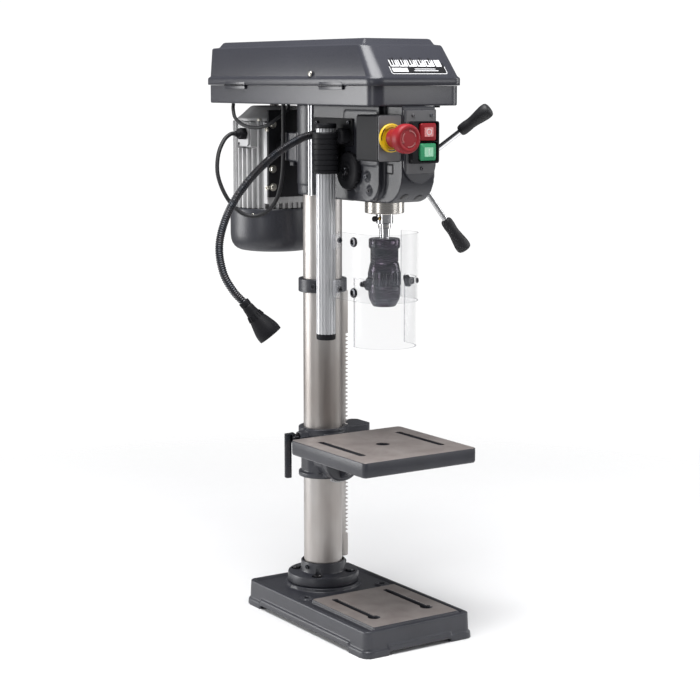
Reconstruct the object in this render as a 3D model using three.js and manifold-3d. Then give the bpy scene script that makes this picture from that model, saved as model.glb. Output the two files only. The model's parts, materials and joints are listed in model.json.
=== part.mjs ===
// Bench drill press with a rack-lifted table, keyless chuck, chuck guard and work lamp.
// Units are millimetres, +Z is up, -Y is the operator's side and +X the operator's right.
// Everything is drawn in the machine frame: the column axis is X = 0, Y = 0 and the base
// stands on Z = 0, so the origin is the point under the column on the bench.
import * as THREE from 'three';
import { mergeVertices } from 'three/addons/utils/BufferGeometryUtils.js';
import Module from 'manifold-3d';

const wasm = await Module();
wasm.setup();

// ---------------------------------------------------------------- driving dimensions
const GAP = 0.3; // running gap kept between neighbouring pieces
const COLUMN_R = 30;
const COLUMN_TOP = 768;
const THROAT = 168; // column axis to spindle axis
const SPINDLE_Y = -THROAT;

const BASE = { halfWidth: 97.5, front: -265, back: 78, top: 38.6, padTop: 42 };
const FLANGE = { discR: 55.5, tubeR: 34.7, seat: 41.8, discTop: 57, top: 74.6, boltCircleR: 42.5 };
const RACK = { module: 2, inner: 30.4, root: 38.6, tip: 42.8, halfWidth: 6, bottom: 75, top: 498 };
const RACK_COLLAR = { r: 37.3, bottom: 498.6, top: 519.2 };
const BRACKET = { r: 34, collarR: 38, bottom: 209.6, top: 287.7, faceY: -44 };
const TABLE = { half: 99.6, centreY: SPINDLE_Y + 3, top: 286.5, edge: 22, skin: 12, tiltZ: 243 };
const LIFT_GEAR = { teeth: 12, x: 52.8, z: 258, wormY: 14, wormZ: 235 };
const LOCK = { y: -7, z: 276 };

const HEAD = { half: 38, noseHalf: 28.5, noseY: -252.5, bottom: 647, top: 784.6 };
const PINION = { module: 1.5, teeth: 14, y: SPINDLE_Y + 31, z: 690 };
const QUILL = { r: 23, bottom: 629.6, top: 752, boreR: 10.6 };
const CHUCK = { top: 594, split: 558, bottom: 493 };

const TRAY = { half: 77, front: -252, back: 218, bottom: 785, top: 813, wall: 2.6, corner: 20 };
const LID = { lip: 3, lipTop: 826.5, shoulder: 871, top: 880, frontLean: 38, sideLean: 4.5 };
const PULLEY = { bottom: 800, step: 13, radii: [28, 36, 44, 52], groove: 5 };
const IDLER_Y = -8;
const MOTOR = { y: 142, r: 66, coreR: 58, bottom: 621.3, top: 757, capR: 71, capBottom: 552 };
const MOTOR_ROD = { x: 28, z: 720, r: 8 };

const GUARD = { barX: -66, barY: -113, barR: 14, bottom: 442, top: 752, r: 50, sheet: 2.4 };
const HANDLE = { apexX: 70, outward: 31, first: 45.2, reach: 148, rodR: 4 };

// ---------------------------------------------------------------- materials
const finish = (color, roughness, metalness, extra = {}) =>
  new THREE.MeshStandardMaterial({ color, roughness, metalness, ...extra });
const castPaint = finish('#43454d', 0.55, 0.25);
const coverPlastic = finish('#3d3e47', 0.42, 0.05);
const blackPlastic = finish('#17181a', 0.5, 0.0);
const groundSteel = finish('#9c9793', 0.3, 0.95);
const machinedIron = finish('#7a6f6b', 0.45, 0.8);
const chrome = finish('#c9cbcd', 0.12, 1.0);
const aluminium = finish('#b9babc', 0.38, 0.9);
const blackSteel = finish('#1c1c20', 0.28, 0.85);
const clearSheet = finish('#eef0f4', 0.08, 0.0, { transparent: true, opacity: 0.3 });
const rubber = finish('#141416', 0.8, 0.0);
const signalRed = finish('#a3141b', 0.4, 0.0);
const signalGreen = finish('#2f9a63', 0.35, 0.0);
const signalYellow = finish('#e6b80c', 0.45, 0.0);

// ---------------------------------------------------------------- solid helpers
/** Sides of a round face: large visible rounds, ordinary rounds, and small pins and holes. */
const FINE = 24;
const MEDIUM = 16;
const COARSE = 8;

const vec = (x, y, z) => new THREE.Vector3(x, y, z);
const degrees = (angle) => (angle * Math.PI) / 180;

/** Turns a closed geometry into a manifold solid with its faces pointing out. */
function solid(geometry) {
  const bare = geometry.clone();
  bare.deleteAttribute('normal');
  bare.deleteAttribute('uv');
  const merged = mergeVertices(bare, 1e-4);
  const position = merged.getAttribute('position').array;
  const index = merged.index.array;
  const corner = (i) => vec(position[3 * i], position[3 * i + 1], position[3 * i + 2]);
  const triangles = [];
  let volume = 0;
  for (let i = 0; i < index.length; i += 3) {
    const [a, b, c] = [index[i], index[i + 1], index[i + 2]];
    if (a === b || b === c || c === a) continue;
    volume += corner(a).dot(corner(b).cross(corner(c)));
    triangles.push([a, b, c]);
  }
  const facing = volume < 0 ? triangles.map(([a, b, c]) => [a, c, b]) : triangles;
  return new wasm.Manifold(
    new wasm.Mesh({
      numProp: 3,
      vertProperties: Float32Array.from(position),
      triVerts: Uint32Array.from(facing.flat()),
    })
  );
}

function geometryOf(body) {
  const mesh = body.getMesh();
  const geometry = new THREE.BufferGeometry();
  geometry.setAttribute('position', new THREE.BufferAttribute(mesh.vertProperties, 3));
  geometry.setIndex(new THREE.BufferAttribute(mesh.triVerts, 1));
  geometry.computeVertexNormals();
  return geometry;
}

const joined = (...bodies) => bodies.reduce((sum, body) => sum.add(body));
const cut = (body, ...tools) => tools.reduce((rest, tool) => rest.subtract(tool), body);

/** Axis-aligned box from its three spans. */
function block([x0, x1], [y0, y1], [z0, z1]) {
  const box = new THREE.BoxGeometry(x1 - x0, y1 - y0, z1 - z0);
  return solid(box.translate((x0 + x1) / 2, (y0 + y1) / 2, (z0 + z1) / 2));
}

/** Turns geometry drawn along +Y (or an outline's +Z) so that it lies along the named axis. */
const ALONG = {
  x: new THREE.Matrix4().makeBasis(vec(0, 1, 0), vec(0, 0, 1), vec(1, 0, 0)),
  y: new THREE.Matrix4().makeBasis(vec(1, 0, 0), vec(0, 0, 1), vec(0, -1, 0)),
  z: new THREE.Matrix4(),
};

/** Turned solid: profile points are [radius, height along the axis], first and last on it. */
function turned(axis, profile, u = 0, v = 0, segments = MEDIUM) {
  const points = profile.map(([r, h]) => new THREE.Vector2(Math.max(r, 0), h));
  const lathe = new THREE.LatheGeometry(points, segments);
  if (axis === 'x') return solid(lathe.rotateZ(-Math.PI / 2).translate(0, u, v));
  if (axis === 'y') return solid(lathe.translate(u, 0, v));
  return solid(lathe.rotateX(Math.PI / 2).translate(u, v, 0));
}

/** Plain round bar from a to b along an axis, centred on (u, v) of the other two axes. */
const bar = (axis, r, a, b, u = 0, v = 0, segments = MEDIUM) =>
  turned(axis, [[0, a], [r, a], [r, b], [0, b]], u, v, segments);

/** Tube along an axis. */
const tube = (axis, r, hole, a, b, u = 0, v = 0, segments = MEDIUM) =>
  turned(axis, [[hole, a], [r, a], [r, b], [hole, b], [hole, a]], u, v, segments);

const outline = (points) => new THREE.Shape(points.map(([a, b]) => new THREE.Vector2(a, b)));

/** Prism of an outline: (Y, Z) outlines run along x, (X, Z) along y, (X, Y) along z. */
function prism(axis, shape, from, to, curveSegments = 8) {
  const geometry = new THREE.ExtrudeGeometry(shape, {
    depth: to - from,
    bevelEnabled: false,
    curveSegments,
  });
  const start = axis === 'y' ? -to : from;
  return solid(geometry.translate(0, 0, start).applyMatrix4(ALONG[axis]));
}

/** Corner points of a rounded rectangle at height z; each corner has its own radius. */
function roundedRing([x0, x1], [y0, y1], radii, z, steps = 3) {
  const corners = [
    [x1, y0, -90, -1, 1],
    [x1, y1, 0, -1, -1],
    [x0, y1, 90, 1, -1],
    [x0, y0, 180, 1, 1],
  ];
  const ring = [];
  corners.forEach(([x, y, start, inX, inY], k) => {
    for (let i = 0; i <= steps; i += 1) {
      const angle = degrees(start + (90 * i) / steps);
      const r = radii[k];
      ring.push(vec(x + r * (inX + Math.cos(angle)), y + r * (inY + Math.sin(angle)), z));
    }
  });
  return ring;
}

/** Solid skin through rings that all have the same number of points. */
function loft(rings) {
  const count = rings[0].length;
  const positions = rings.flat().flatMap((p) => [p.x, p.y, p.z]);
  const index = [];
  for (let k = 0; k + 1 < rings.length; k += 1) {
    for (let i = 0; i < count; i += 1) {
      const a = k * count + i;
      const b = k * count + ((i + 1) % count);
      index.push(a, b, b + count, a, b + count, a + count);
    }
  }
  const last = (rings.length - 1) * count;
  const faces = THREE.ShapeUtils.triangulateShape(rings[0].map((p) => new THREE.Vector2(p.x, p.y)), []);
  faces.forEach(([a, b, c]) => index.push(a, c, b, last + a, last + b, last + c));
  const geometry = new THREE.BufferGeometry();
  geometry.setAttribute('position', new THREE.Float32BufferAttribute(positions, 3));
  geometry.setIndex(index);
  return solid(geometry);
}

/** Round bar swept along a smooth curve through points. */
function swept(points, radius, sides, steps) {
  const section = [];
  for (let i = 0; i < sides; i += 1) {
    const angle = (2 * Math.PI * i) / sides;
    section.push([radius * Math.cos(angle), radius * Math.sin(angle)]);
  }
  const path = new THREE.CatmullRomCurve3(points.map((p) => vec(...p)), false, 'centripetal');
  return solid(new THREE.ExtrudeGeometry(outline(section), { steps, extrudePath: path }));
}

/** Toothed wheel outline; slim teeth leave clear backlash to the mating rack. */
function gearOutline(teeth, module) {
  const pitchR = (teeth * module) / 2;
  const tipR = pitchR + 0.85 * module;
  const rootR = pitchR - 1.15 * module;
  const points = [];
  for (let i = 0; i < teeth; i += 1) {
    const centre = (2 * Math.PI * i) / teeth;
    const half = (0.36 * Math.PI) / teeth;
    [[rootR, -1.75], [tipR, -0.55], [tipR, 0.55], [rootR, 1.75]].forEach(([r, side]) => {
      points.push([r * Math.cos(centre + side * half), r * Math.sin(centre + side * half)]);
    });
  }
  return points;
}

const machine = new THREE.Group();

function piece(name, body, material) {
  const mesh = new THREE.Mesh(geometryOf(body), material);
  mesh.name = name;
  machine.add(mesh);
}

// ---------------------------------------------------------------- base and column
function base() {
  const wallInset = 2.7;
  const topInset = 4.7;
  const span = (inset) => [-BASE.halfWidth + inset, BASE.halfWidth - inset];
  const run = (inset) => [BASE.front + inset, BASE.back - inset];
  const ring = (inset, r, z) => roundedRing(span(inset), run(inset), [r, r, r, r], z, 4);
  const walls = loft([ring(wallInset, 12, 0), ring(topInset, 10, BASE.top)]);
  const footHeight = 9.5;
  const ledgeRise = 5.5;
  const feet = loft([ring(0, 14, 0), ring(0.6, 14, footHeight)]);
  const ledge = loft([ring(0, 14, ledgeRise), ring(0.6, 14, footHeight + ledgeRise)]);
  const footLength = 46;
  const sideLedge = ledge.intersect(
    block(span(-1), [BASE.front + footLength, BASE.back - footLength], [0, BASE.top])
  );
  const endLedge = ledge.intersect(block(span(footLength - 4), run(-1), [0, BASE.top]));
  const pocket = loft([ring(11, 8, -1), ring(14, 8, 29)]);
  const underSide = block(span(-1), [BASE.front + footLength, BASE.back - footLength], [-1, ledgeRise]);
  const underEnd = block(span(footLength - 4), run(-1), [-1, ledgeRise]);
  const recess = loft([ring(12, 6, BASE.top - 3), ring(12, 6, BASE.top + 1)]);
  const padSpan = [-76, 76];
  const padRun = [-254, -86];
  const pad = block(padSpan, padRun, [BASE.top - 5, BASE.padTop]);
  const seat = bar('z', 59, 24, FLANGE.seat - GAP, 0, 0, FINE);
  const post = bar('z', 34, 0, 26, 0, 0, MEDIUM);
  let body = cut(joined(walls, feet, sideLedge, endLedge), pocket, underSide, underEnd, recess);
  body = joined(body, pad, seat, post);
  const slotHalf = 5.5;
  [-47, 47].forEach((x) => {
    const keyhole = bar('z', 9.5, 0, 60, x, -212, COARSE);
    const slotEnd = bar('z', slotHalf, 0, 60, x, -108, COARSE);
    body = cut(body, block([x - slotHalf, x + slotHalf], [-208, -108], [0, 60]), keyhole, slotEnd);
  });
  [-69, 69].forEach((x) => {
    body = joined(body, bar('z', 11, 28, BASE.top, x, -61, COARSE));
    body = cut(body, bar('z', 5.5, 0, 60, x, -61, COARSE));
  });
  return body;
}

function columnFlange() {
  const { discR, tubeR, seat, discTop, top } = FLANGE;
  const bore = COLUMN_R + GAP;
  const profile = [
    [bore, seat], [discR, seat], [discR, discTop - 2], [discR - 2, discTop], [tubeR + 3, discTop],
    [tubeR, discTop + 3], [tubeR, top - 1], [tubeR - 1, top], [bore, top], [bore, seat],
  ];
  let body = turned('z', profile, 0, 0, 40);
  [45, 135, 225, 315].forEach((angle) => {
    const x = FLANGE.boltCircleR * Math.cos(degrees(angle));
    const y = FLANGE.boltCircleR * Math.sin(degrees(angle));
    body = cut(body, bar('z', 4.4, seat - 1, discTop + 1, x, y, COARSE));
  });
  return body;
}

function columnTube() {
  const wall = 3.5;
  return tube('z', COLUMN_R, COLUMN_R - wall, FLANGE.seat, COLUMN_TOP, 0, 0, FINE);
}

function rackOutline() {
  const pitch = Math.PI * RACK.module;
  const firstTooth = LIFT_GEAR.z + pitch / 2 - 24 * pitch;
  const points = [[RACK.inner, RACK.bottom], [RACK.tip - 1.5, RACK.bottom], [RACK.tip, RACK.bottom + 1.5]];
  const toothGaps = 51;
  for (let i = 0; i < toothGaps; i += 1) {
    const gapCentre = firstTooth + (i + 0.5) * pitch;
    points.push([RACK.tip, gapCentre - 0.4 * pitch]);
    points.push([RACK.root, gapCentre - 0.26 * pitch]);
    points.push([RACK.root, gapCentre + 0.26 * pitch]);
    points.push([RACK.tip, gapCentre + 0.4 * pitch]);
  }
  points.push([RACK.tip, RACK.top - 1.5], [RACK.tip - 1.5, RACK.top], [RACK.inner, RACK.top]);
  return outline(points);
}

function rackCollar() {
  const { r, bottom, top } = RACK_COLLAR;
  return tube('z', r, COLUMN_R + GAP, bottom, top, 0, 0, FINE);
}

// ---------------------------------------------------------------- table and its lift
function tableBracket() {
  const { r, collarR, bottom, top, faceY } = BRACKET;
  const sleeve = bar('z', r, bottom, top, 0, 0, FINE);
  const upperCollar = bar('z', collarR, top - 10, top, 0, 0, FINE);
  const lowerCollar = bar('z', collarR, bottom, bottom + 7.6, 0, 0, FINE);
  const gearBox = prism('z', new THREE.Shape(
    [[24, -20], [72, -20], [80, -12], [80, 22], [74, 28], [18, 28]].map((p) => new THREE.Vector2(...p))
  ), 222, 286);
  const tiltBoss = bar('y', 31, faceY, -20, 0, TABLE.tiltZ, MEDIUM);
  const web = block([-20, 20], [faceY + 2, -24], [bottom + 4, top - 8]);
  const lockBoss = bar('x', 9, -50, -30, LOCK.y, LOCK.z, COARSE);
  const outside = joined(sleeve, upperCollar, lowerCollar, gearBox, tiltBoss, web, lockBoss);
  const columnBore = bar('z', COLUMN_R + GAP, bottom - 1, top + 1, 0, 0, FINE);
  const rackChannel = block([20, RACK.tip + 0.7], [-6.6, 6.6], [bottom - 1, top + 1]);
  const gearRoom = bar('y', 21, -14, 24, LIFT_GEAR.x, LIFT_GEAR.z, MEDIUM);
  const wormRoom = bar('x', 9.4, 33, 76, LIFT_GEAR.wormY, LIFT_GEAR.wormZ, COARSE);
  const wormBore = bar('x', 5.8, 70, 90, LIFT_GEAR.wormY, LIFT_GEAR.wormZ, COARSE);
  const axleBore = bar('y', 4.4, -22, 30, LIFT_GEAR.x, LIFT_GEAR.z, COARSE);
  const lockBore = bar('x', 5.7, -60, -20, LOCK.y, LOCK.z, COARSE);
  const pivotBore = bar('y', 6.4, -50, -20, 0, TABLE.tiltZ, COARSE);
  return cut(outside, columnBore, rackChannel, gearRoom, wormRoom, wormBore, axleBore, lockBore, pivotBore);
}

/** Rack pinion and worm wheel on one axle. */
function tableGear() {
  const { x, z, teeth } = LIFT_GEAR;
  const halfTurn = degrees(180);
  const wheelModule = 2.3;
  const pinion = outline(gearOutline(teeth, RACK.module));
  const wheel = outline(gearOutline(teeth, wheelModule));
  const place = (shape, y0, y1, turn) => {
    const geometry = new THREE.ExtrudeGeometry(shape, { depth: y1 - y0, bevelEnabled: false });
    geometry.rotateZ(turn).translate(0, 0, -y1).applyMatrix4(ALONG.y);
    return solid(geometry.translate(x, 0, z));
  };
  const axle = bar('y', 4, -19.5, 27, x, z, COARSE);
  return joined(place(pinion, -6, 6.2, halfTurn), place(wheel, 6, 20, 0), axle);
}

/** Worm, its shaft, the crank arm and the crank's handle. */
function tableCrank() {
  const { wormY, wormZ } = LIFT_GEAR;
  const shaft = bar('x', 5, 35, 96, wormY, wormZ, COARSE);
  const thread = turned('x', [
    [0, 40], [5.2, 40], [7, 43], [5.2, 46], [7, 49], [5.2, 52], [7, 55], [5.2, 58], [7, 61], [5.2, 64],
    [0, 64],
  ], wormY, wormZ, COARSE);
  const armLength = 55;
  const handleY = wormY - armLength;
  const arm = joined(
    block([86, 93], [handleY, wormY], [wormZ - 6, wormZ + 6]),
    bar('x', 10, 84, 96, wormY, wormZ, COARSE),
    bar('x', 8, 86, 93, handleY, wormZ, COARSE)
  );
  const grip = turned('x', [
    [0, 92], [6, 92], [6, 95], [8, 100], [8.4, 118], [7, 130], [3, 133], [0, 133],
  ], handleY, wormZ, COARSE);
  return joined(shaft, thread, arm, grip);
}

function tableLock() {
  const leverHalf = 5;
  const screw = bar('x', 5, -72, -32, LOCK.y, LOCK.z, COARSE);
  const lever = block([-73, -63], [LOCK.y - leverHalf, LOCK.y + leverHalf], [214, LOCK.z + 7]);
  const shoulder = bar('x', 8, -63.5, -58, LOCK.y, LOCK.z, COARSE);
  return joined(screw, lever, shoulder);
}

function table() {
  const { half, centreY, top, edge, skin, tiltZ } = TABLE;
  const span = (inset) => [-half + inset, half - inset];
  const run = (inset) => [centreY - half + inset, centreY + half - inset];
  const ring = (inset, r, z) => roundedRing(span(inset), run(inset), [r, r, r, r], z, 3);
  const plate = loft([
    ring(2, 5, top - edge), ring(0, 7, top - edge + 3), ring(0, 7, top - 1.5), ring(1.5, 6, top),
  ]);
  const pocket = loft([ring(10, 6, top - edge - 1), ring(13, 6, top - skin)]);
  const boss = bar('z', 53, top - edge - 6, top - 2, 0, centreY, MEDIUM);
  const spine = prism('x', outline([
    [-60, tiltZ - 28], [-60, top - 14], [-210, top - 14], [-210, top - edge - 1], [-130, top - edge - 8],
  ]), -13, 13);
  const disc = bar('y', 33, -61, BRACKET.faceY - GAP, 0, tiltZ, MEDIUM);
  let body = joined(cut(plate, pocket), boss, spine, disc);
  const slotHalf = 5.5;
  const slotEnds = [-215, -106];
  [-70, 70].forEach((x) => {
    const rounds = slotEnds.map((y) => bar('z', slotHalf, 200, 300, x, y, COARSE));
    body = cut(body, block([x - slotHalf, x + slotHalf], slotEnds, [200, 300]), ...rounds);
  });
  const drillHole = bar('z', 10.5, 200, 300, 0, centreY, MEDIUM);
  const bracketNotch = block([-20, 20], [-62, -40], [tiltZ + 25, top + 1]);
  const pivotBore = bar('y', 6.4, -70, -40, 0, tiltZ, COARSE);
  return cut(body, drillHole, bracketNotch, pivotBore);
}

// ---------------------------------------------------------------- head casting
function headSide(halfWidth, front, back, rounding, rise) {
  const { bottom, top } = HEAD;
  const shape = new THREE.Shape();
  shape.moveTo(back, top);
  shape.lineTo(front, top);
  shape.lineTo(front, bottom + rounding);
  shape.absarc(front + rounding, bottom + rounding, rounding, Math.PI, 1.5 * Math.PI, false);
  shape.lineTo(back - rise, bottom);
  shape.lineTo(back, bottom + rise * 0.7);
  return prism('x', shape, -halfWidth, halfWidth, 8);
}

function head() {
  const { half, noseHalf, noseY, bottom, top } = HEAD;
  const sleeve = bar('z', 38.5, 664.4, top, 0, 0, FINE);
  const collar = bar('z', 37, 648, 665, 0, 0, FINE);
  const cheeks = headSide(half, -209, -20, 30, 74);
  const nose = headSide(noseHalf, noseY, -180, 42, 4);
  const spine = block([-24, 24], [-120, -20], [645, top]);
  const lugs = block([-half, half], [15, 60], [698, 742]);
  const pinionBoss = bar('x', 30, half - 2, half + 3, PINION.y, PINION.z, MEDIUM);
  let body = joined(sleeve, collar, cheeks, nose, spine, lugs, pinionBoss);
  body = cut(body, bar('z', COLUMN_R + GAP, 640, COLUMN_TOP + 1, 0, 0, FINE));
  body = cut(body, bar('z', QUILL.r + GAP, 640, QUILL.top + 2, 0, SPINDLE_Y, FINE));
  body = cut(body, bar('z', 15, QUILL.top, top + 1, 0, SPINDLE_Y, MEDIUM));
  body = cut(body, bar('x', 12.8, -60, 60, PINION.y, PINION.z, MEDIUM));
  [-MOTOR_ROD.x, MOTOR_ROD.x].forEach((x) => {
    body = cut(body, bar('y', MOTOR_ROD.r + GAP, 24, 62, x, MOTOR_ROD.z, COARSE));
  });
  const gearRoom = block([-30, 30], [-134, -42], [716, top + 1]);
  const switchRoom = block([-22, 22], [-248, -200], [712, top + 1]);
  body = cut(body, gearRoom, switchRoom);
  const idlerSocket = bar('z', 8.3, 772, top + 1, 0, IDLER_Y, COARSE);
  return cut(body, idlerSocket);
}

function switchPlate() {
  const shape = new THREE.Shape();
  const w = HEAD.noseHalf - 1;
  shape.moveTo(-w, 780);
  shape.lineTo(-w, 704);
  shape.absarc(0, 704, w, Math.PI, 2 * Math.PI, false);
  shape.lineTo(w, 780);
  return prism('y', shape, HEAD.noseY - 4, HEAD.noseY - GAP, 12);
}

const SWITCH = { x: 2, left: -21, right: 25, bottom: 705, top: 764, depth: 11 };

function switchBezel() {
  const front = HEAD.noseY - 4 - GAP - SWITCH.depth;
  const back = HEAD.noseY - 4 - GAP;
  const shell = block([SWITCH.left, SWITCH.right], [front, back], [SWITCH.bottom, SWITCH.top]);
  const well = (z0, z1) => block([SWITCH.x - 11, SWITCH.x + 17], [front - 1, back - 3], [z0, z1]);
  return cut(shell, well(736, 762), well(708, 734));
}

function pushButton(z0, z1) {
  const front = HEAD.noseY - 4 - GAP - SWITCH.depth;
  return block([SWITCH.x - 10, SWITCH.x + 16], [front - 3, front + 4], [z0, z1]);
}

const ESTOP = { x: -48, z: 741, left: -68.5, right: -29, back: -197, bottom: 708, top: 773 };

function estopBox() {
  const { left, right, back, bottom, top } = ESTOP;
  const body = block([left, right], [HEAD.noseY, back], [bottom, top]);
  const headClearance = block([-HEAD.half - GAP, right + 1], [-209 - GAP, back + 1], [bottom - 1, top + 1]);
  const plungerHole = bar('y', 9, HEAD.noseY - 1, -230, ESTOP.x, ESTOP.z, MEDIUM);
  return cut(body, headClearance, plungerHole);
}

function estopButton() {
  const y = HEAD.noseY;
  return turned('y', [
    [0, y + 14], [8, y + 14], [8, y - 6], [14, y - 8], [14, y - 24], [19, y - 28], [20.5, y - 33],
    [20.5, y - 42], [18, y - 45.5], [0, y - 47],
  ], ESTOP.x, ESTOP.z, MEDIUM);
}

// ---------------------------------------------------------------- quill, spindle and chuck
function quill() {
  const { r, bottom, top, boreR } = QUILL;
  let body = bar('z', r, bottom, top, 0, SPINDLE_Y, MEDIUM);
  const flatY = SPINDLE_Y + 22;
  body = cut(body, block([-12, 12], [flatY, flatY + 5], [bottom + 19, top + 1]));
  const pitch = Math.PI * PINION.module;
  const rackTeeth = 17;
  for (let i = 0; i < rackTeeth; i += 1) {
    const z = PINION.z - 2 * pitch + i * pitch;
    body = cut(body, prism('x', outline([
      [flatY - 3.1, z - 0.26 * pitch], [flatY + 0.2, z - 0.42 * pitch],
      [flatY + 0.2, z + 0.42 * pitch], [flatY - 3.1, z + 0.26 * pitch],
    ]), -13, 13));
  }
  const bearingR = 17;
  return cut(
    body,
    bar('z', boreR, bottom - 1, top + 1, 0, SPINDLE_Y, MEDIUM),
    bar('z', bearingR, bottom - 1, bottom + 12.6, 0, SPINDLE_Y, MEDIUM),
    bar('z', bearingR, top - 12.6, top + 1, 0, SPINDLE_Y, MEDIUM)
  );
}

const bearing = (z) => tube('z', 16.8, 10.2, z, z + 12, 0, SPINDLE_Y, MEDIUM);

function spindle() {
  return turned('z', [
    [0, 572], [7, 572], [7.5, 594], [7.5, 606.7], [9, 606.7], [9, 614.4], [12.5, 614.4],
    [12.5, 628.8], [9.9, 628.8], [9.9, 850], [0, 850],
  ], 0, SPINDLE_Y, MEDIUM);
}

function chuckBody() {
  const { top, split, bottom } = CHUCK;
  const shell = turned('z', [
    [0, bottom + 6], [15, bottom + 6], [15, split + GAP], [20.5, split + GAP], [20.5, 577], [23, 580],
    [23, top - 1.5], [21.5, top], [0, top],
  ], 0, SPINDLE_Y, FINE);
  const socket = [[0, 571], [7.3, 571], [7.8, top + 1], [0, top + 1]];
  const arborSocket = turned('z', socket, 0, SPINDLE_Y, MEDIUM);
  const drillRoom = bar('z', 8, bottom, 550, 0, SPINDLE_Y, MEDIUM);
  return cut(shell, arborSocket, drillRoom);
}

function chuckSleeve() {
  const { split, bottom } = CHUCK;
  const bore = 15.4;
  return turned('z', [
    [bore, bottom], [16.5, bottom], [22, 503], [23.5, 515], [23.5, 546], [20.5, split], [bore, split],
    [bore, bottom],
  ], 0, SPINDLE_Y, FINE);
}

// ---------------------------------------------------------------- quill feed
function feedShaft() {
  const shaft = bar('x', 8.8, -42.8, 66, PINION.y, PINION.z, MEDIUM);
  const shape = outline(gearOutline(PINION.teeth, PINION.module));
  const geometry = new THREE.ExtrudeGeometry(shape, { depth: 28, bevelEnabled: false });
  geometry.rotateZ(Math.PI).translate(0, 0, -14).applyMatrix4(ALONG.x);
  return joined(shaft, solid(geometry.translate(0, PINION.y, PINION.z)));
}

/** Places a solid turned about +Y so that it points along feed handle number k. */
function alongHandle(profile, k) {
  const swing = degrees(HANDLE.first + 120 * k);
  const outward = degrees(HANDLE.outward);
  const direction = vec(
    Math.sin(outward),
    -Math.cos(outward) * Math.cos(swing),
    Math.cos(outward) * Math.sin(swing)
  );
  const lathe = new THREE.LatheGeometry(profile.map(([r, h]) => new THREE.Vector2(r, h)), COARSE);
  const turn = new THREE.Quaternion().setFromUnitVectors(vec(0, 1, 0), direction);
  return solid(lathe.applyQuaternion(turn).translate(HANDLE.apexX, PINION.y, PINION.z));
}

const ROD_START = 14;
const ROD_END = 104;
const GRIP_START = 92;

function feedHub() {
  let body = turned('x', [
    [0, 42], [22, 42], [24, 44], [24, 60], [20, 74], [14, 79], [0, 80],
  ], PINION.y, PINION.z, MEDIUM);
  body = cut(body, bar('x', 9.1, 41, 66.5, PINION.y, PINION.z, MEDIUM));
  const r = HANDLE.rodR + GAP;
  const rodHole = [[0, ROD_START - 0.5], [r, ROD_START - 0.5], [r, 60], [0, 60]];
  for (let k = 0; k < 3; k += 1) {
    body = cut(body, alongHandle(rodHole, k));
  }
  return body;
}

function feedRod(k) {
  const { rodR } = HANDLE;
  return alongHandle([[0, ROD_START], [rodR, ROD_START], [rodR, ROD_END], [0, ROD_END]], k);
}

function feedGrip(k) {
  const start = GRIP_START;
  const end = HANDLE.reach;
  const r = HANDLE.rodR + GAP;
  return alongHandle([
    [0, ROD_END + 0.5], [r, ROD_END + 0.5], [r, start], [7, start], [8.6, start + 3], [8.8, start + 12],
    [8, start + 20], [11.4, end - 12], [11.2, end - 5], [7, end - 0.5], [0, end],
  ], k);
}

/** Flat clock spring that lifts the quill, coiled round the left end of the feed shaft. */
function returnSpring() {
  const coils = 2.5;
  const stepsPerCoil = 12;
  const strip = 0.7;
  const radius = (turns) => 10 + (12.5 * turns) / coils;
  const inner = [];
  const outer = [];
  for (let i = 0; i <= coils * stepsPerCoil; i += 1) {
    const turns = i / stepsPerCoil;
    const angle = 2 * Math.PI * turns;
    const r = radius(turns);
    inner.push([r * Math.cos(angle), r * Math.sin(angle)]);
    outer.push([(r + strip) * Math.cos(angle), (r + strip) * Math.sin(angle)]);
  }
  const coil = outline([...inner, ...outer.reverse()]);
  return prism('x', coil, -42.6, -38.8).translate([0, PINION.y, PINION.z]);
}

const springCap = () =>
  turned('x', [
    [0, -46.8], [24, -46.8], [27.5, -44.5], [27.5, -38.3], [24.8, -38.3], [24.8, -43.4], [0, -43.4],
  ], PINION.y, PINION.z, MEDIUM);

// ---------------------------------------------------------------- belt drive and its cover
function trayRing(inset, z) {
  const { half, front, back, corner } = TRAY;
  const r = Math.max(corner - inset, 4);
  return roundedRing([-half + inset, half - inset], [front + inset, back - inset], [r, r / 2, r / 2, r], z);
}

function pulleyTray() {
  const { bottom, top, wall } = TRAY;
  let body = loft([trayRing(1.5, bottom), trayRing(0, bottom + 1.5), trayRing(0, top)]);
  body = cut(body, loft([trayRing(wall, bottom + wall), trayRing(wall, top + 1)]));
  body = cut(body, bar('z', 17, bottom - 1, bottom + 5, 0, SPINDLE_Y, MEDIUM));
  body = cut(body, bar('z', 10, bottom - 1, bottom + 5, 0, IDLER_Y, COARSE));
  const slotEnds = [MOTOR.y - 16, MOTOR.y];
  const slotRounds = slotEnds.map((y) => bar('z', 14, bottom - 1, bottom + 5, 0, y, COARSE));
  const motorSlot = block([-14, 14], slotEnds, [bottom - 1, bottom + 5]);
  return cut(body, motorSlot, ...slotRounds);
}

/** Ring of the lid at height z; the front leans back and the sides lean in as it rises. */
function lidRing(lift, inset, z) {
  const side = -TRAY.half - LID.lip + LID.sideLean * lift + LID.lip * Math.min(lift * 20, 1) + inset;
  const front = TRAY.front - LID.lip + LID.frontLean * lift + inset;
  const back = TRAY.back + LID.lip - 3 * Math.min(lift * 20, 1) - inset;
  const r = Math.max(TRAY.corner - inset - 4 * lift, 3);
  return roundedRing([side, -side], [front, back], [r, r / 2, r / 2, r], z);
}

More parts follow.
